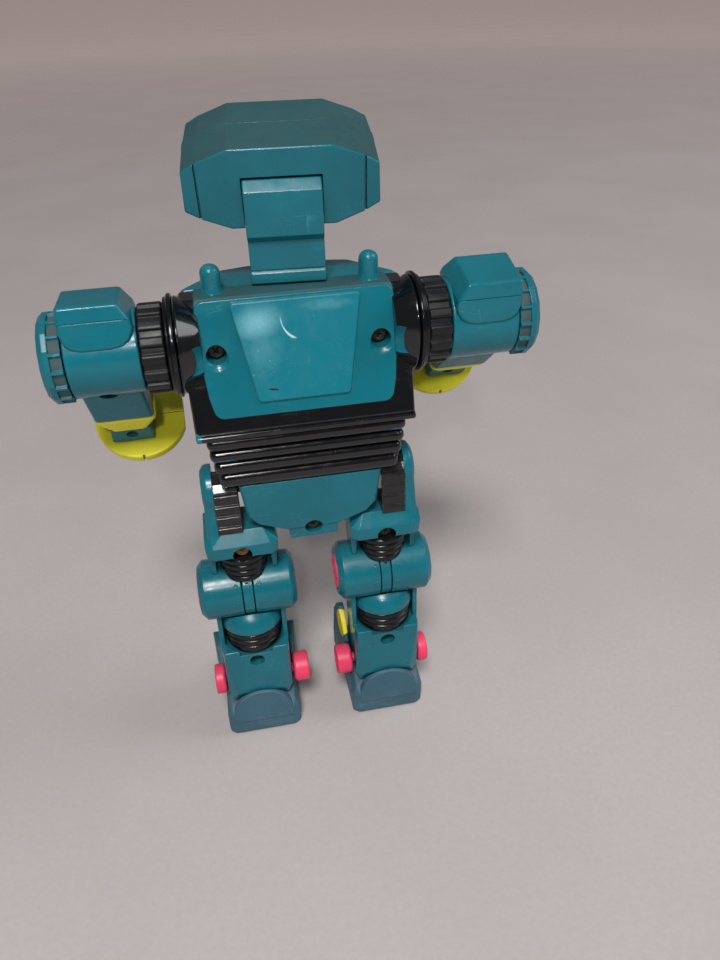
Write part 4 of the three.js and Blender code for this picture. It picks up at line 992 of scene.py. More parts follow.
def arm_shells(side):
    barrel = lathe([(0, BARREL_X0), (BARREL_R, BARREL_X0, 0.5), (BARREL_R, BARREL_X1, 0.4),
                    (0, BARREL_X1)], 96, 0.001, "X")
    # rounded shoulder block, from a low ridge to a U shape where it runs into the barrel
    block = hull(
        rects((42.2, 55.8, 6.8, -5.4, 14.6), (41.6, 55.9, 7.6, -6.2, 14.1))
        + [(39.3, 8.2, 10.4), (56.0, 8.6, 10.4), (39.3, -7.8, 10.4), (56.0, -8.0, 10.4),
           (39.0, 8.8, 8.6), (56.0, 9.1, 8.6), (39.0, -8.8, 8.6), (56.0, -9.1, 8.6)]
        + rects((40.0, 55.2, 9.6, -9.6, 6.7), (41.8, 53.6, 9.9, -9.9, 5.3),
                (44.8, 50.8, 10.05, -10.05, 4.6), (41, 54, 6, -6, 2)), 0.9, 5)
    block = cut(block, rod("X", DIAL_R + 0.5, BARREL_X1, 70, segments=96))
    block = block.rot("X", 90 - BLOCK_DROP)
    sleeve = hull(
        rects((ARM_X - 6.7, ARM_X + 8.2, 8.4, -8.4, -2))
        + [(ARM_X - 6.7, 8.0, -12.2), (ARM_X - 6.7, -8.0, -12.2)]
        + rects((ARM_X - 7.6, ARM_X + 7.6, 9.2, -9.2, -19.3),
                (ARM_X - 6.9, ARM_X + 6.9, 8.8, -8.8, -19.8)), 0.85, 4).slot(1)
    neck = box(ARM_X - 3.8, ARM_X + 3.8, -4.8, 4.8, -28, -19)
    hole = (ARM_SCREW_X, ARM_SCREW_Z)
    shell = boolean(
        barrel, plus(block, sleeve, neck),
        minus(rod("X", 3.9, 37, 52.3), rod("X", 2.6, 50, 58),
              rod("X", DRUM_R + 0.6, 30, DRUM_X1 + GAP, segments=72),
              rod("Y", SCREW_BORE_R, 6.0, 20, hole), rod("Y", 1.5, -4, 20, hole),
              rod("Z", 2.5, -32, -22, (ARM_X, 0))))
    back, front = halves(shell, 0, 20, 80, 60, -60, 60)
    limb_piece(side, "arm_back", hang(back, side), "teal teal_worn", "arm",
               "arm_rear_shell")
    limb_piece(side, "arm_front", hang(front, side), "teal teal_worn", "arm",
               "arm_front_shell")
    fixing = screw(8.6).at(ARM_SCREW_X, 7.8, ARM_SCREW_Z)
    limb_piece(side, "arm_fixing", hang(fixing, side), "steel", "arm", "arm_screw")


def dial(side):
    """Outer shoulder dial: fluted body, sixteen-sided rim and a dished face with a hub."""
    body = fluted(DIAL_R - 0.05, 0.75, 0.24, BARREL_X1 + GAP, 58.9, edge=0.15, soft=0.05,
                  edge_in=0.15)
    body = by_normal(body, lambda centre, normal: (
        abs(normal[0]) < 0.3 and math.hypot(centre[1], centre[2]) < DIAL_R - 0.45))
    radius = DIAL_R + 0.05
    rim = hull([(x, radius * k * math.cos(math.radians(t + 8)),
                 radius * k * math.sin(math.radians(t + 8)))
                for t in np.arange(0, 360, 22.5)
                for x, k in ((58.8, 1.0), (DIAL_X1 - 1.3, 1.0), (DIAL_X1, 0.895))], 0.18, 3)
    dish = lathe([(0, DIAL_X1 - 0.8), (DIAL_R - 4.0, DIAL_X1 - 0.8, 0.3),
                  (DIAL_R - 3.3, DIAL_X1, 0.2), (DIAL_R - 3.2, DIAL_X1 + 1),
                  (0, DIAL_X1 + 1)], 80, 0.0001, "X")
    cap = union(cut(rim, dish), rod("X", 2.6, DIAL_X1 - 1.5, DIAL_X1 - 0.3, edge=0.2))
    solid = union(body, cap, rod("X", 2.3, 52.6, BARREL_X1 + 1)).at(0, *SHOULDER)
    limb_piece(side, "dial", solid, "teal_dial grubby", "arm", "shoulder_dial")


def cuff(side):
    """Four stepped rings that narrow towards the hand."""
    solid = None
    for i in range(4):
        a, b, top = 8.1 - i * 0.95, 9.0 - i * 0.3, -20.1 - i * 2.1
        bottom = top - (2.15 if i < 3 else 2.1)
        ring = slab([(-a, -b), (a, -b), (a, b), (-a, b)], 1.6,
                    edge_levels(bottom, top, 0.62, both=True),
                    lambda u, v, h: (ARM_X + u, v, h))
        if solid is None:
            solid = ring
        else:
            link = box(ARM_X - a + 1.0, ARM_X + a - 1.0, -b + 1.0, b - 1.0, top - 1, top + 0.9)
            solid = union(solid, ring, link)
    solid = cut(solid, box(ARM_X - 4.1, ARM_X + 4.1, -5.1, 5.1, -32, -15))
    limb_piece(side, "cuff", hang(solid, side), "yellow", "arm", "forearm_cuff")


def wrist(side):
    block = hull(rects((ARM_X - 5.4, ARM_X + 5.4, 7.0, -7, -29.0),
                       (ARM_X - 6.0, ARM_X + 6.0, 7.8, -7.8, -35.8)), 0.6, 4)
    solid = union(block, rod("Z", 2.2, -29.5, -23, (ARM_X, 0)),
                  rod("Z", 3.6, -42, -35.4, (ARM_X, 0)))
    solid = cut(solid, rod("Y", 1.6, 5.6, 12, (ARM_X, -32.4)))
    limb_piece(side, "wrist", hang(solid, side), "teal_worn", "hand", "wrist_block")


def guard(side):
    """Disc above the hand with one side cut flat and small notches in its rim."""
    disc = lathe([(0, -39.4), (GUARD_R, -39.4, 0.55), (GUARD_R, -36.2, 0.55), (0, -36.2)],
                 96, 0.001, "Z", 5).at(GUARD_X, 0, 0)
    notches = [box(GUARD_X - 0.35, GUARD_X + 0.35, y - 0.7, y + 0.7, -44, -30)
               for y in (GUARD_R, -GUARD_R)]
    line = box(30, ARM_X - 6.2, -0.09, 0.09, -36.5, -35)
    disc = boolean(disc, within(box(32.6, 70, -20, 20, -44, -30)),
                   minus(rod("Z", 3.9, -44, -30, (ARM_X, 0)), *notches, line))
    limb_piece(side, "guard", hang(disc, side), "yellow", "hand", "hand_guard")


def grip(side):
    """C-shaped hand, open downwards."""
    ring = lathe([(0, -5.4), (5.8, -5.4, 0.7), (5.8, 5.4, 0.7), (0, 5.4)], 72, 0.001, "Y", 5)
    mouth = prism("Y", [(ARM_X - 1.2, -49.5), (ARM_X + 1.2, -49.5), (ARM_X - 3.2, -60),
                        (ARM_X + 3.2, -60)], -9, 9)
    hand = boolean(box(ARM_X - 4.6, ARM_X + 4.6, -5.6, 5.6, -47, -42.3, 0.6),
                   plus(ring.at(ARM_X, 0, -48.4)),
                   minus(rod("Y", 2.9, -9, 9, (ARM_X, -48.9)), mouth))
    limb_piece(side, "grip", hang(hand, side), "teal_worn", "hand", "hand")


# ---------------------------------------------------------------- neck and head
# The head is drawn with its back at y = 0 and its face at y = -HEAD_DEPTH.
SECTION = [(12.1, 0), (19.8, -2.8), (23.3, -4.7), (23.6, -14.4), (19.8, -16.6),
           (12.8, -19.4)]                        # half width, z, from the top down
WINDOW = [(-18.5, -6), (18.5, -6), (20, -9), (17.5, -14), (-17.5, -14), (-20, -9)]  # x, z
HEAD_SPLIT = -HEAD_DEPTH * 0.5


def turn_head(solid):
    return solid.rot("Z", HEAD_TURN, (0, NECK_Y, 0))


def seat_head(solid):
    return turn_head(solid.rot("X", -HEAD_TILT).at(0, -9.1, 184.7))


def head_hull(*stations, radius=0.0, steps=3):
    """Hull of the head section at each (y, scale)."""
    return hull([(s * x * k, y, -9.7 + (z + 9.7) * k)
                 for y, k in stations for x, z in SECTION for s in (1, -1)], radius, steps)


def head_hollow():
    return head_hull((-2.2, 0.88), (-HEAD_DEPTH + 3.5, 0.88))


def neck_notch():
    return turn_head(box(-NECK_HALF - 0.3, NECK_HALF + 0.3, -19.2, 0, 150, 178.1))


# upward faces high on the head take the darker top material: painted shade with dust
def shaded_dusty_top(solid):
    return by_normal(solid, lambda centre, normal: normal[2] > 0.75 and centre[2] > 176)


def neck_stem():
    half = NECK_HALF
    head_end = prism("X", [(-8.2, 164.8), (-8.2, 175.2), (-10.2, 177.6), (-17.2, 177.6),
                           (-17.2, 163.2), (-9.8, 163.2)], -half, half, 0.35)
    middle = prism("X", [(-9.8, 164.6), (-9.8, 155.6), (-17.0, 155.6), (-17.0, 164.6)],
                   -half + 0.05, half - 0.05, 0.3)
    foot = prism("X", [(-10.2, 156.6), (-9.2, 155.5), (-9.2, 152.9), (-17.2, 152.9),
                       (-17.2, 156.6)], -half, half, 0.3)
    neck = boolean(head_end, plus(middle, foot, rod("Z", 4.0, 147.4, 153.2, (0, NECK_Y)),
                                  rod("Z", 5.4, 147.2, 149.4, (0, NECK_Y))),
                   minus(rod("X", 1.8, -12, 12, NOD),
                         box(-half - 1, half + 1, -9.98, -9.0, 156.05, 156.25)))
    piece("neck_stem", turn_head(neck), "teal", "neck", "neck_bracket")


def head_back():
    split, half = HEAD_SPLIT, NECK_HALF
    # the second hull squares the end where the two halves meet
    rear = union(
        head_hull((0, 1.0), (split + 0.05, 1.012), (split + 3, 1.010), radius=0.55, steps=4),
        head_hull((split + 0.12, 1.012), (split + 2.5, 1.0105)))
    grooves = [hull([(s * 20.0 + a * wide, y, z) for wide, y in ((0.42, 1.5), (0.16, -1.0))
                     for a in (-1, 1) for z in (5, -25)]) for s in (1, -1)]
    rear = cut(seat_head(cut(rear, head_hollow(), *grooves)), neck_notch())
    # ears either side of the neck, trimmed to the inside of the shell
    ears = [turn_head(box(half + 0.3, half + 2.8, -19, -10.6, 168, 180)),
            turn_head(box(-half - 2.8, -half - 0.3, -19, -10.6, 168, 180))]
    inner = seat_head(head_hull((-0.9, 0.975), (split + 0.3, 0.985)))
    rear = boolean(rear, plus(*[common(ear, inner) for ear in ears]),
                   minus(turn_head(rod("X", 1.8, -14, 14, NOD))))
    piece("head_back", shaded_dusty_top(rear), "teal teal_top", "head", "head_rear_shell")


def head_face():
    split, face = HEAD_SPLIT, -HEAD_DEPTH
    front = union(
        head_hull((split - 0.05, 1.012), (face + 1.2, 1.0), (face, 0.955),
                  radius=0.8, steps=4),
        head_hull((split - 0.12, 1.012), (split - 2.5, 1.0105)))
    opening = slab(WINDOW, 0.8, [(-3, 0), (5.05, 0)], lambda u, v, h: (u, face + 5 - h, v))
    front = cut(front, head_hollow(), opening)
    # brow grooves above the window, then five upright slits below it
    outer = ((4, -3.6), (16, -4.6), (16, -5.0), (4, -4.0))
    floor = ((4, -3.7), (16, -4.7), (16, -4.9), (4, -3.9))
    cuts = [hull([(s * x, y, z) for y, section in ((face - 2, outer), (face + 0.7, floor))
                  for x, z in section]) for s in (1, -1)]
    slit = ((0.5, face - 2, (-15.4, -18.2)), (0.4, face + 0.8, (-15.5, -18.1)))
    cuts += [hull([(x, y, z) for half, y, ends in slit for x in (mid - half, mid + half)
                   for z in ends]) for mid in range(-6, 7, 3)]
    front = cut(seat_head(cut(front, *cuts)), neck_notch())
    piece("head_face", shaded_dusty_top(front), "teal teal_top", "head", "head_front_shell")


def visor():
    face = -HEAD_DEPTH
    rim = [(x * 0.975, -10 + (z + 10) * 0.93) for x, z in WINDOW]
    solid = hull([(x, y, z) for y in (face + 4.2, face + 0.6) for x, z in rim]
                 + [(x * 0.9, face - 0.6, -10 + (z + 10) * 0.7) for x, z in rim], 0.35, 4)
    piece("visor", seat_head(solid), "visor", "head", "head_visor")


# ---------------------------------------------------------------- waist and pelvis
def waist():
    core = prism("Z", [(-24.6, 3.4), (24.6, 3.4), (-24.6, -24), (24.6, -24), (-20, -26.4),
                       (20, -26.4)], 106, 117.6)
    parts = [prism("Z", [(-22.6, 3.2), (22.6, 3.2), (-22.6, -23), (22.6, -23)], 103.0, 106.2)]
    # ribs: half width, top, bottom; the section is nearly half round
    for i, (w, top, bottom) in enumerate([(26.4, 118.2, 114.9), (26.0, 114.4, 111.3),
                                          (25.3, 110.8, 107.4), (24.4, 106.9, 103.0)]):
        back, front = 5.4 - i * 0.25, -27.4 + i * 0.6
        half = (top - bottom) / 2
        angles = [-math.pi / 2 + math.pi * j / 8 for j in range(9)]
        levels = [(bottom + half + half * math.sin(a), 1.15 * (1 - math.cos(a)))
                  for a in angles]
        parts.append(slab([(-w, front + 4), (-w + 4, front), (w - 4, front), (w, front + 4),
                           (w, back), (-w, back)], 1.9, levels))
    parts.append(rod("Z", 6.0, 116, 122.4, (0, WAIST_Y)))
    solid = boolean(core, plus(*parts), minus(box(-17.5, 17.5, -19, -1, 98, 112)))
    piece("waist", solid, "paint_waist", "pelvis", "waist_bellows")


def pelvis_back():
    split = HIP[0] + GAP / 2
    shape = [(-19.7, 102.9), (19.7, 102.9), (18.3, 91.3), (15.5, 88.2), (8.0, 85.0),
             (-8.0, 85.0), (-15.5, 88.2), (-18.3, 91.3)]  # x, z
    shield = hull([(x, 3.0 - (102.6 - z) * 0.09, z) for x, z in shape]
                  + [(x * 0.96, 3.8 - (102.6 - z) * 0.09, 95 + (z - 95) * 0.96)
                     for x, z in shape]
                  + [(x * 0.99, 0.6, z) for x, z in shape], 0.4, 4)
    screw_block = hull(pairs((7.4, 1.9, 87), (6.7, 1.2, 81.2), (7.4, split, 87),
                             (6.7, split, 81.2)), 0.3, 3)
    rear = boolean(
        shield, within(box(-40, 40, -40, 20, 80, 102.6)),
        plus(box(-17.2, 17.2, split, 1.4, 92.6, 102.6), screw_block,
             box(-6.4, 6.4, split, 1.2, 84, 94), box(-17.0, 17.0, split, -1.6, 102.2, 111.4)),
        minus(rod("X", 2.5, -40, 40, HIP), rod("Y", SCREW_BORE_R, -2.3, 9, PELVIS_SCREW),
              rod("Y", 1.5, -12, 9, PELVIS_SCREW)))
    piece("pelvis_back", rear, "teal", "pelvis", "pelvis_rear_shell")


def pelvis_front():
    split = HIP[0] - GAP / 2
    apron = hull(pairs((9.4, -15.5, 102.4), (9.4, -18.6, 101), (5.6, -17, 84.5),
                       (5.6, -13.5, 83.2)), 0.6, 4)
    slit = hull([(x, y, z) for x in (-0.35, 0.35)
                 for y, z in ((-20, 86), (-20, 100), (-16.2, 86), (-17.2, 100))])
    front = boolean(
        box(-17.2, 17.2, -16, split, 94, 102.6, 0.3),
        plus(box(-6.6, 6.6, -14.5, split, 82.5, 96, 0.3), apron,
             box(-17.0, 17.0, -18.4, split, 102.2, 111.4)),
        minus(rod("X", 2.5, -40, 40, HIP), rod("Y", 1.25, -13, 0, PELVIS_SCREW), slit))
    piece("pelvis_front", front, "teal", "pelvis", "pelvis_front_shell")


def pelvis_fixing():
    x, z = PELVIS_SCREW
    piece("pelvis_fixing", screw(9.6).at(x, -0.1, z), "steel", "pelvis", "pelvis_screw")


# ---------------------------------------------------------------- legs
# lower end of the shin, which also shapes the socket in the boot: x0, x1, y, z
SHIN_FOOT = [(10.6, 31.4, 0.2, 22), (13.5, 28.5, 2.0, 22), (10.6, 31.4, -15.5, 22),
             (12, 30, 0, 17.5), (12, 30, -14.5, 17.5)]


def bellows(radii, top, high, low, end, corner):
    """Profile of stacked rings; high, low and end are depths below each ring's top."""
    profile = []
    for i, r in enumerate(radii):
        z = top - i * 2.45
        profile += [(r - 0.95, z, 0.12), (r, z - high, corner), (r, z - low, corner),
                    (r - 0.95, z - end, 0.12)]
    return profile


def knee_clearance():
    return rod("X", KNEE_R + 0.35, 0, 40, KNEE, 96)


def thigh_shells(side):
    hip = lathe([(0, 26.7), (HIP_R, 26.7), (HIP_R, 28.8, 1.3), (HIP_R - 1.6, 29.9, 0.8),
                 (0, 29.9)], 72, 0.001, "X", 5).at(0, *HIP)
    plate = hull([(26.7, 1.4, 97), (26.7, -11.4, 97), (29.6, 1.0, 97), (29.6, -11, 97),
                  (26.7, 1.9, 84), (26.7, -12.4, 84), (30.4, 1.5, 84), (30.4, -12, 84)],
                 0.5, 4)
    block = prism("X", [(-0.9, 101.2), (-3.2, 102.4), (-6.4, 102.3), (-8.5, 100.7),
                        (-11.6, 95), (-11.8, 84), (1.2, 84), (1.2, 96.5), (0.6, 99.5)],
                  20.0, 26.9, 0.25).slot(1)
    ribs = [hull([(x, y, z + 85.8 + i * 3.6) for x in (20.0, 26.9)
                  for y, z in ((0.7, 0), (2.0, 0.5), (2.0, 2.3), (0.7, 2.8))],
                 0.28, 4).slot(1) for i in range(4)]
    band = hull(spans(
        (10.5, 31.3, 2.4, 82.6), (10.5, 31.3, -13, 82.6), (12.8, 29.2, 3.6, 82.4),
        (10.8, 31.0, 2.0, 78.4), (12.8, 29.0, 3.4, 78.4), (10.8, 31, -12.6, 76.4),
        (14.5, 29.2, 0.8, 86.4), (12.4, 29.6, -11.4, 86.0))
        + [(31.2, 0, 85), (31.2, -12, 85)], 0.45, 4)
    bars = [hull(rects((a, b, -1.6, -11.8, 79), (a + 0.6, b - 0.6, -3.2, -10.6, 60)), 0.35)
            for a, b in ((11.0, 13.6), (28.4, 31.0))]
    thigh = boolean(
        plate, plus(hip, block, *ribs, band, *bars),
        minus(rod("X", 2.5, 10, 28.2, HIP), rod("Z", 8.7, 60, 81.0, (LEG_X, -5.0), 64),
              knee_clearance(), rod("Y", 2.75, -3.4, 20, THIGH_SCREW),
              rod("Y", 1.5, -12, 4, THIGH_SCREW)))
    back, front = halves(thigh, -5.0, 0, 60, 40, 0, 200)
    limb_piece(side, "thigh_back", back, "teal paint_hip", "thigh", "thigh_rear_shell")
    limb_piece(side, "thigh_front", front, "teal paint_hip", "thigh", "thigh_front_shell")


def thigh_rings(side):
    rings = lathe([(0, 80.6), (7.0, 80.6)]
                  + bellows([8.3, 7.9, 7.4, 6.9, 6.4, 6.0], 79.6, high=0.55, low=1.85,
                            end=2.38, corner=0.55)
                  + [(4.6, 64.4), (0, 64.4)], 72, 0.001, "Z").at(LEG_X, -5.0, 0)
    strap = rod("X", KNEE_R - 0.1, LEG_X - 1.5, LEG_X + 1.5, KNEE, 96, 0.2).slot(1)
    solid = boolean(
        rings, minus(knee_clearance()),
        plus(strap, box(LEG_X - 1.45, LEG_X + 1.45, -9, -3.4, 60, 71)),
        minus(rod("X", 1.9, 5, 40, KNEE), rod("Y", 2.75, -3.9, 20, THIGH_SCREW),
              rod("Y", 1.5, -14, 4, THIGH_SCREW)))
    limb_piece(side, "thigh_rings", solid, "rubber teal", "thigh", "thigh_bellows")


def thigh_fixing(side):
    x, z = THIGH_SCREW
    limb_piece(side, "thigh_fixing", screw(6.2).at(x, 0.6, z),
               "rusty" if side == "left" else "steel", "thigh", "thigh_screw")


def knee_barrel(x0, x1, start, end):
    """Barrel along X; start and end are (chamfer, radius at the face, radius at the rim)."""
    cut0, face0, rim0 = start
    cut1, face1, rim1 = end
    return lathe([(0, x0), (KNEE_R - cut0, x0, face0), (KNEE_R, x0 + cut0 * 0.9, rim0),
                  (KNEE_R, x1 - cut1 * 0.9, rim1), (KNEE_R - cut1, x1, face1), (0, x1)],
                 96, 0.0001, "X").at(0, *KNEE)


def shin_shells(side):
    outer_end, inner_end = (1.8, 0.3, 0.5), (0.2, 0, 0.15)
    barrels = [knee_barrel(KNEE_X0, LEG_X - 1.8, outer_end, inner_end),
               knee_barrel(LEG_X + 1.8, KNEE_X1, inner_end, outer_end)]
    cheeks = [hull(rects((a, b, -1.6, -12.6, 58), (a, b, -1.2, -12.4, 40)), 0.3)
              for a, b in ((10.4, 11.9), (30.1, 31.6))]
    shin = hull(spans((10.6, 31.4, 0.6, 41.5), (11.2, 30.8, 3.0, 41.5),
                      (11.0, 31.0, -13.6, 41.5), *SHIN_FOOT), 0.5, 4)
    well = lathe([(0, 39.6), (9.6, 39.6, 0.2), (9.6, 60), (0, 60)], 72, 0.0001, "Z")
    well = cut(well.at(LEG_X, -5.2, 0), *barrels)
    shell = boolean(
        shin, plus(*barrels, *cheeks),
        minus(well, rod("X", KNEE_R + 0.4, LEG_X - 1.8, LEG_X + 1.8, KNEE, 96),
              rod("X", 1.9, 5, 40, KNEE),
              rod("X", 5.9, KNEE_X0 - 1, KNEE_X0 + 1.0, KNEE, 64),
              rod("X", 5.9, KNEE_X1 - 1.0, KNEE_X1 + 1, KNEE, 64),
              rod("X", 1.9, 5, 40, ANKLE),
              box(LEG_X - 1.9, LEG_X + 1.9, -11, -0.3, 10, 28.4),
              rod("Y", 2.3, -2.2, 20, SHIN_SCREW), rod("Y", 1.4, -9, 4, SHIN_SCREW)))
    # four small rivets beside the middle strap of the knee
    rivet = lathe([(0, -0.6), (0.62, -0.6), (0.62, 0.22, 0.18), (0.36, 0.22, 0.1),
                   (0.30, 0.12, 0.05), (0, 0.12)], 20, 0.0001, "Y", 3)
    rivet = rivet.at(0, KNEE_R - 0.02, 0)
    shell = union(shell, *[rivet.rot("X", angle).at(LEG_X + s * 3.4, *KNEE)
                           for s in (-1, 1) for angle in (37, 0)])
    back, front = halves(shell, -6.2, 0, 60, 40, 0, 200)
    limb_piece(side, "shin_back", back, "teal", "shin", "shin_rear_shell")
    limb_piece(side, "shin_front", front, "teal", "shin", "shin_front_shell")


def shin_rings(side):
    dome = lathe([(0, 48.2), (8.5, 48.2), (9.35, 48.5, 0.3), (9.15, 50.4, 1.5),
                  (7.9, 53.0, 3), (4.9, 55.3, 3), (0, 56.2)], 72, 0.001, "Z", 5)
    rings = lathe([(0, 48.6), (8.1, 48.6)]
                  + bellows((9.05, 8.85, 8.65), 48.4, high=0.5, low=1.8, end=2.35, corner=0.5)
                  + [(7.6, 41.0), (7.6, 39.9), (0, 39.9)], 72, 0.001, "Z")
    solid = boolean(rings.at(LEG_X, -5.2, 0), plus(dome.at(LEG_X, -5.2, 0).slot(1)),
                    minus(knee_clearance()))
    limb_piece(side, "shin_rings", solid, "rubber teal", "shin", "shin_bellows")


def shin_fixing(side):
    x, z = SHIN_SCREW
    limb_piece(side, "shin_fixing", screw(5.6).scaled(0.9, 1, 0.9).at(x, 0.0, z), "steel",
               "shin", "shin_screw")


def knee_caps(side):
    """Knee pin with a grooved cap at each end."""
    # radius, distance outside the barrel end[, corner radius]
    cap = [(0, 0.3), (2.2, 0.3, 0.2), (2.4, -0.1, 0.1), (3.6, -0.1, 0.1), (3.8, 0.3, 0.2),
           (5.5, 0.3, 0.3), (5.6, -0.7), (1.6, -0.7)]
    pin = lathe([(r, KNEE_X0 - out, *corner) for r, out, *corner in cap]
                + [(r, KNEE_X1 + out, *corner) for r, out, *corner in cap[::-1]],
                64, 0.0001, "X").at(0, *KNEE)
    limb_piece(side, "knee_caps", pin, "pink", "shin", "knee_pin")


def wheels(side):
    """Ankle axle with a wheel at each end, hollowed on its outer face."""
    def wheel(x0, x1):
        return [(0, x0), (1.7, x0, 0.15), (1.9, x0 + 0.45, 0.1), (3.2, x0 + 0.45, 0.15),
                (3.5, x0, 0.2), (WHEEL_R, x0, 1.15), (WHEEL_R, x1, 1.15), (2.4, x1, 0.3),
                (0, x1)]

    x0, x1 = 31.7, 35.2
    inner = lathe(wheel(4.7, 9.8), 64, 0.0001, "X", 5)
    outer = lathe([(r, x1 + x0 - x, *corner) for r, x, *corner in wheel(x0, x1)][::-1],
                  64, 0.0001, "X", 5)
    axle = union(inner, rod("X", 1.6, 9.6, 32.4), outer).at(0, *ANKLE)
    limb_piece(side, "wheels", axle, "pink", "ankle_axle", "ankle_wheels")


def about_ankle(y, z, degrees):
    c, s = math.cos(math.radians(degrees)), math.sin(math.radians(degrees))
    y0, z0 = ANKLE
    return y0 + (y - y0) * c - (z - z0) * s, z0 + (y - y0) * s + (z - z0) * c


def boot_socket():
    """Room for the foot of the shin, with clearance, rocked both ways about the ankle."""
    foot = spans(*SHIN_FOOT, (10.9, 31.1, 0.0, 30), (14, 28, 2.2, 30), (10.9, 31.1, -15, 30))
    return hull([(x + (-0.3 if x < LEG_X else 0.3),
                  *about_ankle(y + (0.25 if y > -7 else -0.25), z - (0.3 if z < 20 else 0), a))
                 for a in (-4.5, 0, 4.5) for x, y, z in foot])


def boot_fin(x0, sign, lean):
    """Upright fin beside the ankle, thicker towards the front."""
    top = [about_ankle(y, z, lean) for y, z in
           ((-8.6, 27), (-12, 33), (-15.8, 37.0), (-18.2, 36.6), (-21.5, 32), (-24, 20))]
    side = [(-7.6, 14), (-24, 13)] + [p for p in top if p[1] > 12]
    return hull([(x, y, z) for y, z in side
                 for x in (x0, x0 + sign * (1.2 + max(0, -7.6 - y) * 0.12))], 0.45, 4).slot(2)


def boot(side):
    body = hull(spans(
        (9.0, 33.0, 0.6, SOLE_Z), (11.0, 31.0, 2.0, SOLE_Z), (9.0, 33.0, 1.4, 12.0),
        (11.2, 30.8, 3.2, 13.5), (10.4, 31.6, 1.2, 15.5), (9.8, 32.2, -14, 19.5),
        (9.0, 33, -32, SOLE_Z), (12.5, 29.5, -37, SOLE_Z), (9.4, 32.6, -31, 10),
        (13, 29, -36, 8.5), (13.6, 28.4, 0.2, 17.4)), 1.4, 5)
    arch = prism("Y", [(LEG_X + 9.6 * math.sin(math.radians(t)),
                        13.2 + 9.6 * math.cos(math.radians(t))) for t in range(-90, 91, 6)]
                 + [(LEG_X - 9.6, 10), (LEG_X + 9.6, 10)], 1.0, 3.5, 0.35).slot(1)
    y, z = ANKLE
    x0, x1 = LEG_X - 1.5, LEG_X + 1.5
    lean = POD_LEAN[side]
    solid = boolean(
        body, plus(arch), minus(boot_socket()),
        plus(box(x0, x1, y - 3, y + 3, 9, z), rod("X", 3.0, x0, x1, ANKLE),
             boot_fin(10.0, -1, lean), boot_fin(32.0, 1, lean)),
        minus(rod("X", WHEEL_R + 0.6, 0, 10.15, ANKLE, 64),
              rod("X", WHEEL_R + 0.6, 31.4, 38, ANKLE, 64),
              rod("X", 1.9, LEG_X - 3, LEG_X + 3, ANKLE)))
    limb_piece(side, "boot_shell", solid, "boot boot pod_" + side, "foot", "boot")


# ---------------------------------------------------------------- build the robot
for make in (torso_back, torso_chest, chest_panel, chest_jewel):
    make()
for side, sign in SIDES:
    back_screw(side, sign)
    collar(side, sign)
for side, _ in SIDES:
    for make in (drum, arm_shells, dial, cuff, wrist, guard, grip):
        make(side)
for make in (neck_stem, head_back, head_face, visor,
             waist, pelvis_back, pelvis_front, pelvis_fixing):
    make()
for side, _ in SIDES:
    for make in (thigh_shells, thigh_rings, thigh_fixing, shin_shells, shin_rings,
                 shin_fixing, knee_caps, wheels, boot):
        make(side)

# the hidden axle and pin keep their CAD shape, in screw steel
for hidden in ("hip_axle", "head_nod_pin"):
    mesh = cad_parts[hidden].data
    mesh.materials.clear()
    mesh.materials.append(MATERIALS["steel"])

scene.collection.children.unlink(WORK)


# ---------------------------------------------------------------- floor, light, camera
def floor_material():
    """Pale matt floor that glows slightly with distance, so that it stays light far away."""
    n = Net("pale_floor")
    colour = n.mix(n.ramp(n.noise(scale=9, detail=4.0), 0.3, 0.7),
                   (0.50, 0.455, 0.445), (0.54, 0.495, 0.485))
    colour = n.mix(n.ramp(n.noise(scale=600, detail=3.0), 0.35, 0.7, to=(0.0, 0.35)),
                   colour, (0.46, 0.42, 0.41))
    bumped = n.add("ShaderNodeBump", {
        "Strength": 0.25, "Distance": 0.3 * MM,
        "Height": n.noise(scale=350, detail=3.0)}).outputs["Normal"]
    far = n.ramp(n.vector("LENGTH", n.obj), 0.25, 2.6, kind="LINEAR")
    return n.surface({"Base Color": colour, "Roughness": 0.75, "Normal": bumped,
                      "Specular IOR Level": 0.3, "Emission Strength": 1.0,
                      "Emission Color": n.mix(far, (0, 0, 0), (0.235, 0.185, 0.170))})


def add_floor(radius, z):
    """Round floor, sizes in metres."""
    mesh = bpy.data.meshes.new("floor")
    angles = [2 * math.pi * i / 64 for i in range(64)]
    mesh.from_pydata([(radius * math.cos(a), radius * math.sin(a), z) for a in angles], [],
                     [tuple(range(64))])
    mesh.materials.append(floor_material())
    floor = bpy.data.objects.new("floor", mesh)
    scene.collection.objects.link(floor)


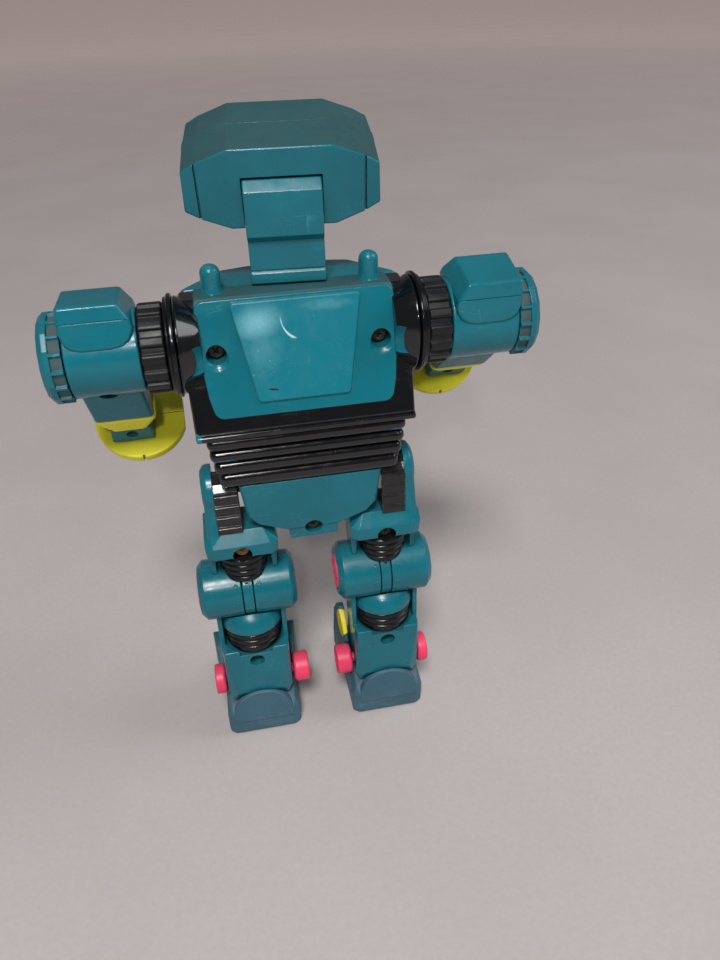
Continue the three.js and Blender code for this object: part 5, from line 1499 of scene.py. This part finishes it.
def area(name, location, target, size, power, color, shape="SQUARE"):
    """Area light aimed at the target, in metres and watts."""
    light = bpy.data.lights.new(name, "AREA")
    light.shape, light.size, light.energy, light.color = shape, size, power, color
    obj = bpy.data.objects.new(name, light)
    obj.location = location
    aim = Vector(target) - Vector(location)
    obj.rotation_euler = aim.to_track_quat("-Z", "Y").to_euler()
    scene.collection.objects.link(obj)


def spin(degrees):
    c, s = math.cos(math.radians(degrees)), math.sin(math.radians(degrees))
    return np.array([[c, -s, 0], [s, c, 0], [0, 0, 1]])


def add_camera(down, yaw, roll, sighted, lens):
    """Camera behind the robot, angles in degrees.

    sighted is where the point midway between the back screws lies from the camera:
    mm to its right, up and away.
    """
    c, s = math.cos(math.radians(down)), math.sin(math.radians(down))
    pitch = np.array([[1, 0, 0], [0, s, c], [0, c, -s]])
    view = (spin(roll) @ pitch @ spin(yaw)) * np.array([-1, -1, 1])
    right, up, away = view
    middle = np.array([0, -MID_Y, SCREW_Z - SOLE_Z])
    location = (middle - np.array(sighted) @ view) * MM
    data = bpy.data.cameras.new("camera")
    data.sensor_width = 36.0
    data.lens = lens
    data.clip_start, data.clip_end = 0.01, 100
    camera = bpy.data.objects.new("camera", data)
    scene.collection.objects.link(camera)
    placed = np.column_stack([right, up, -away, location]).tolist()
    camera.matrix_world = Matrix([*placed, [0, 0, 0, 1]])
    scene.camera = camera


add_floor(radius=12.0, z=-0.0002)

world = bpy.data.worlds.new("studio")
world.use_nodes = True
background = world.node_tree.nodes["Background"]
background.inputs["Color"].default_value = (0.95, 0.93, 0.95, 1)
background.inputs["Strength"].default_value = 0.13
scene.world = world

area("key", location=(0.25, 1.15, 1.75), target=(0, 0.02, 0.09), size=0.45, power=30.0,
     color=(1.0, 0.985, 0.97))
area("flash", location=(0.06, 0.44, 0.42), target=(0, 0.02, 0.10), size=0.03, power=0.55,
     color=(1.0, 0.98, 0.96), shape="DISK")
area("fill", location=(-1.4, 0.2, 1.2), target=(0, 0.02, 0.09), size=0.8, power=8.0,
     color=(0.95, 0.97, 1.0))

add_camera(down=33.3, yaw=10.1, roll=1.9, sighted=(-15.023, 33.366, 198.619), lens=29.775)
scene.view_settings.view_transform = "Standard"
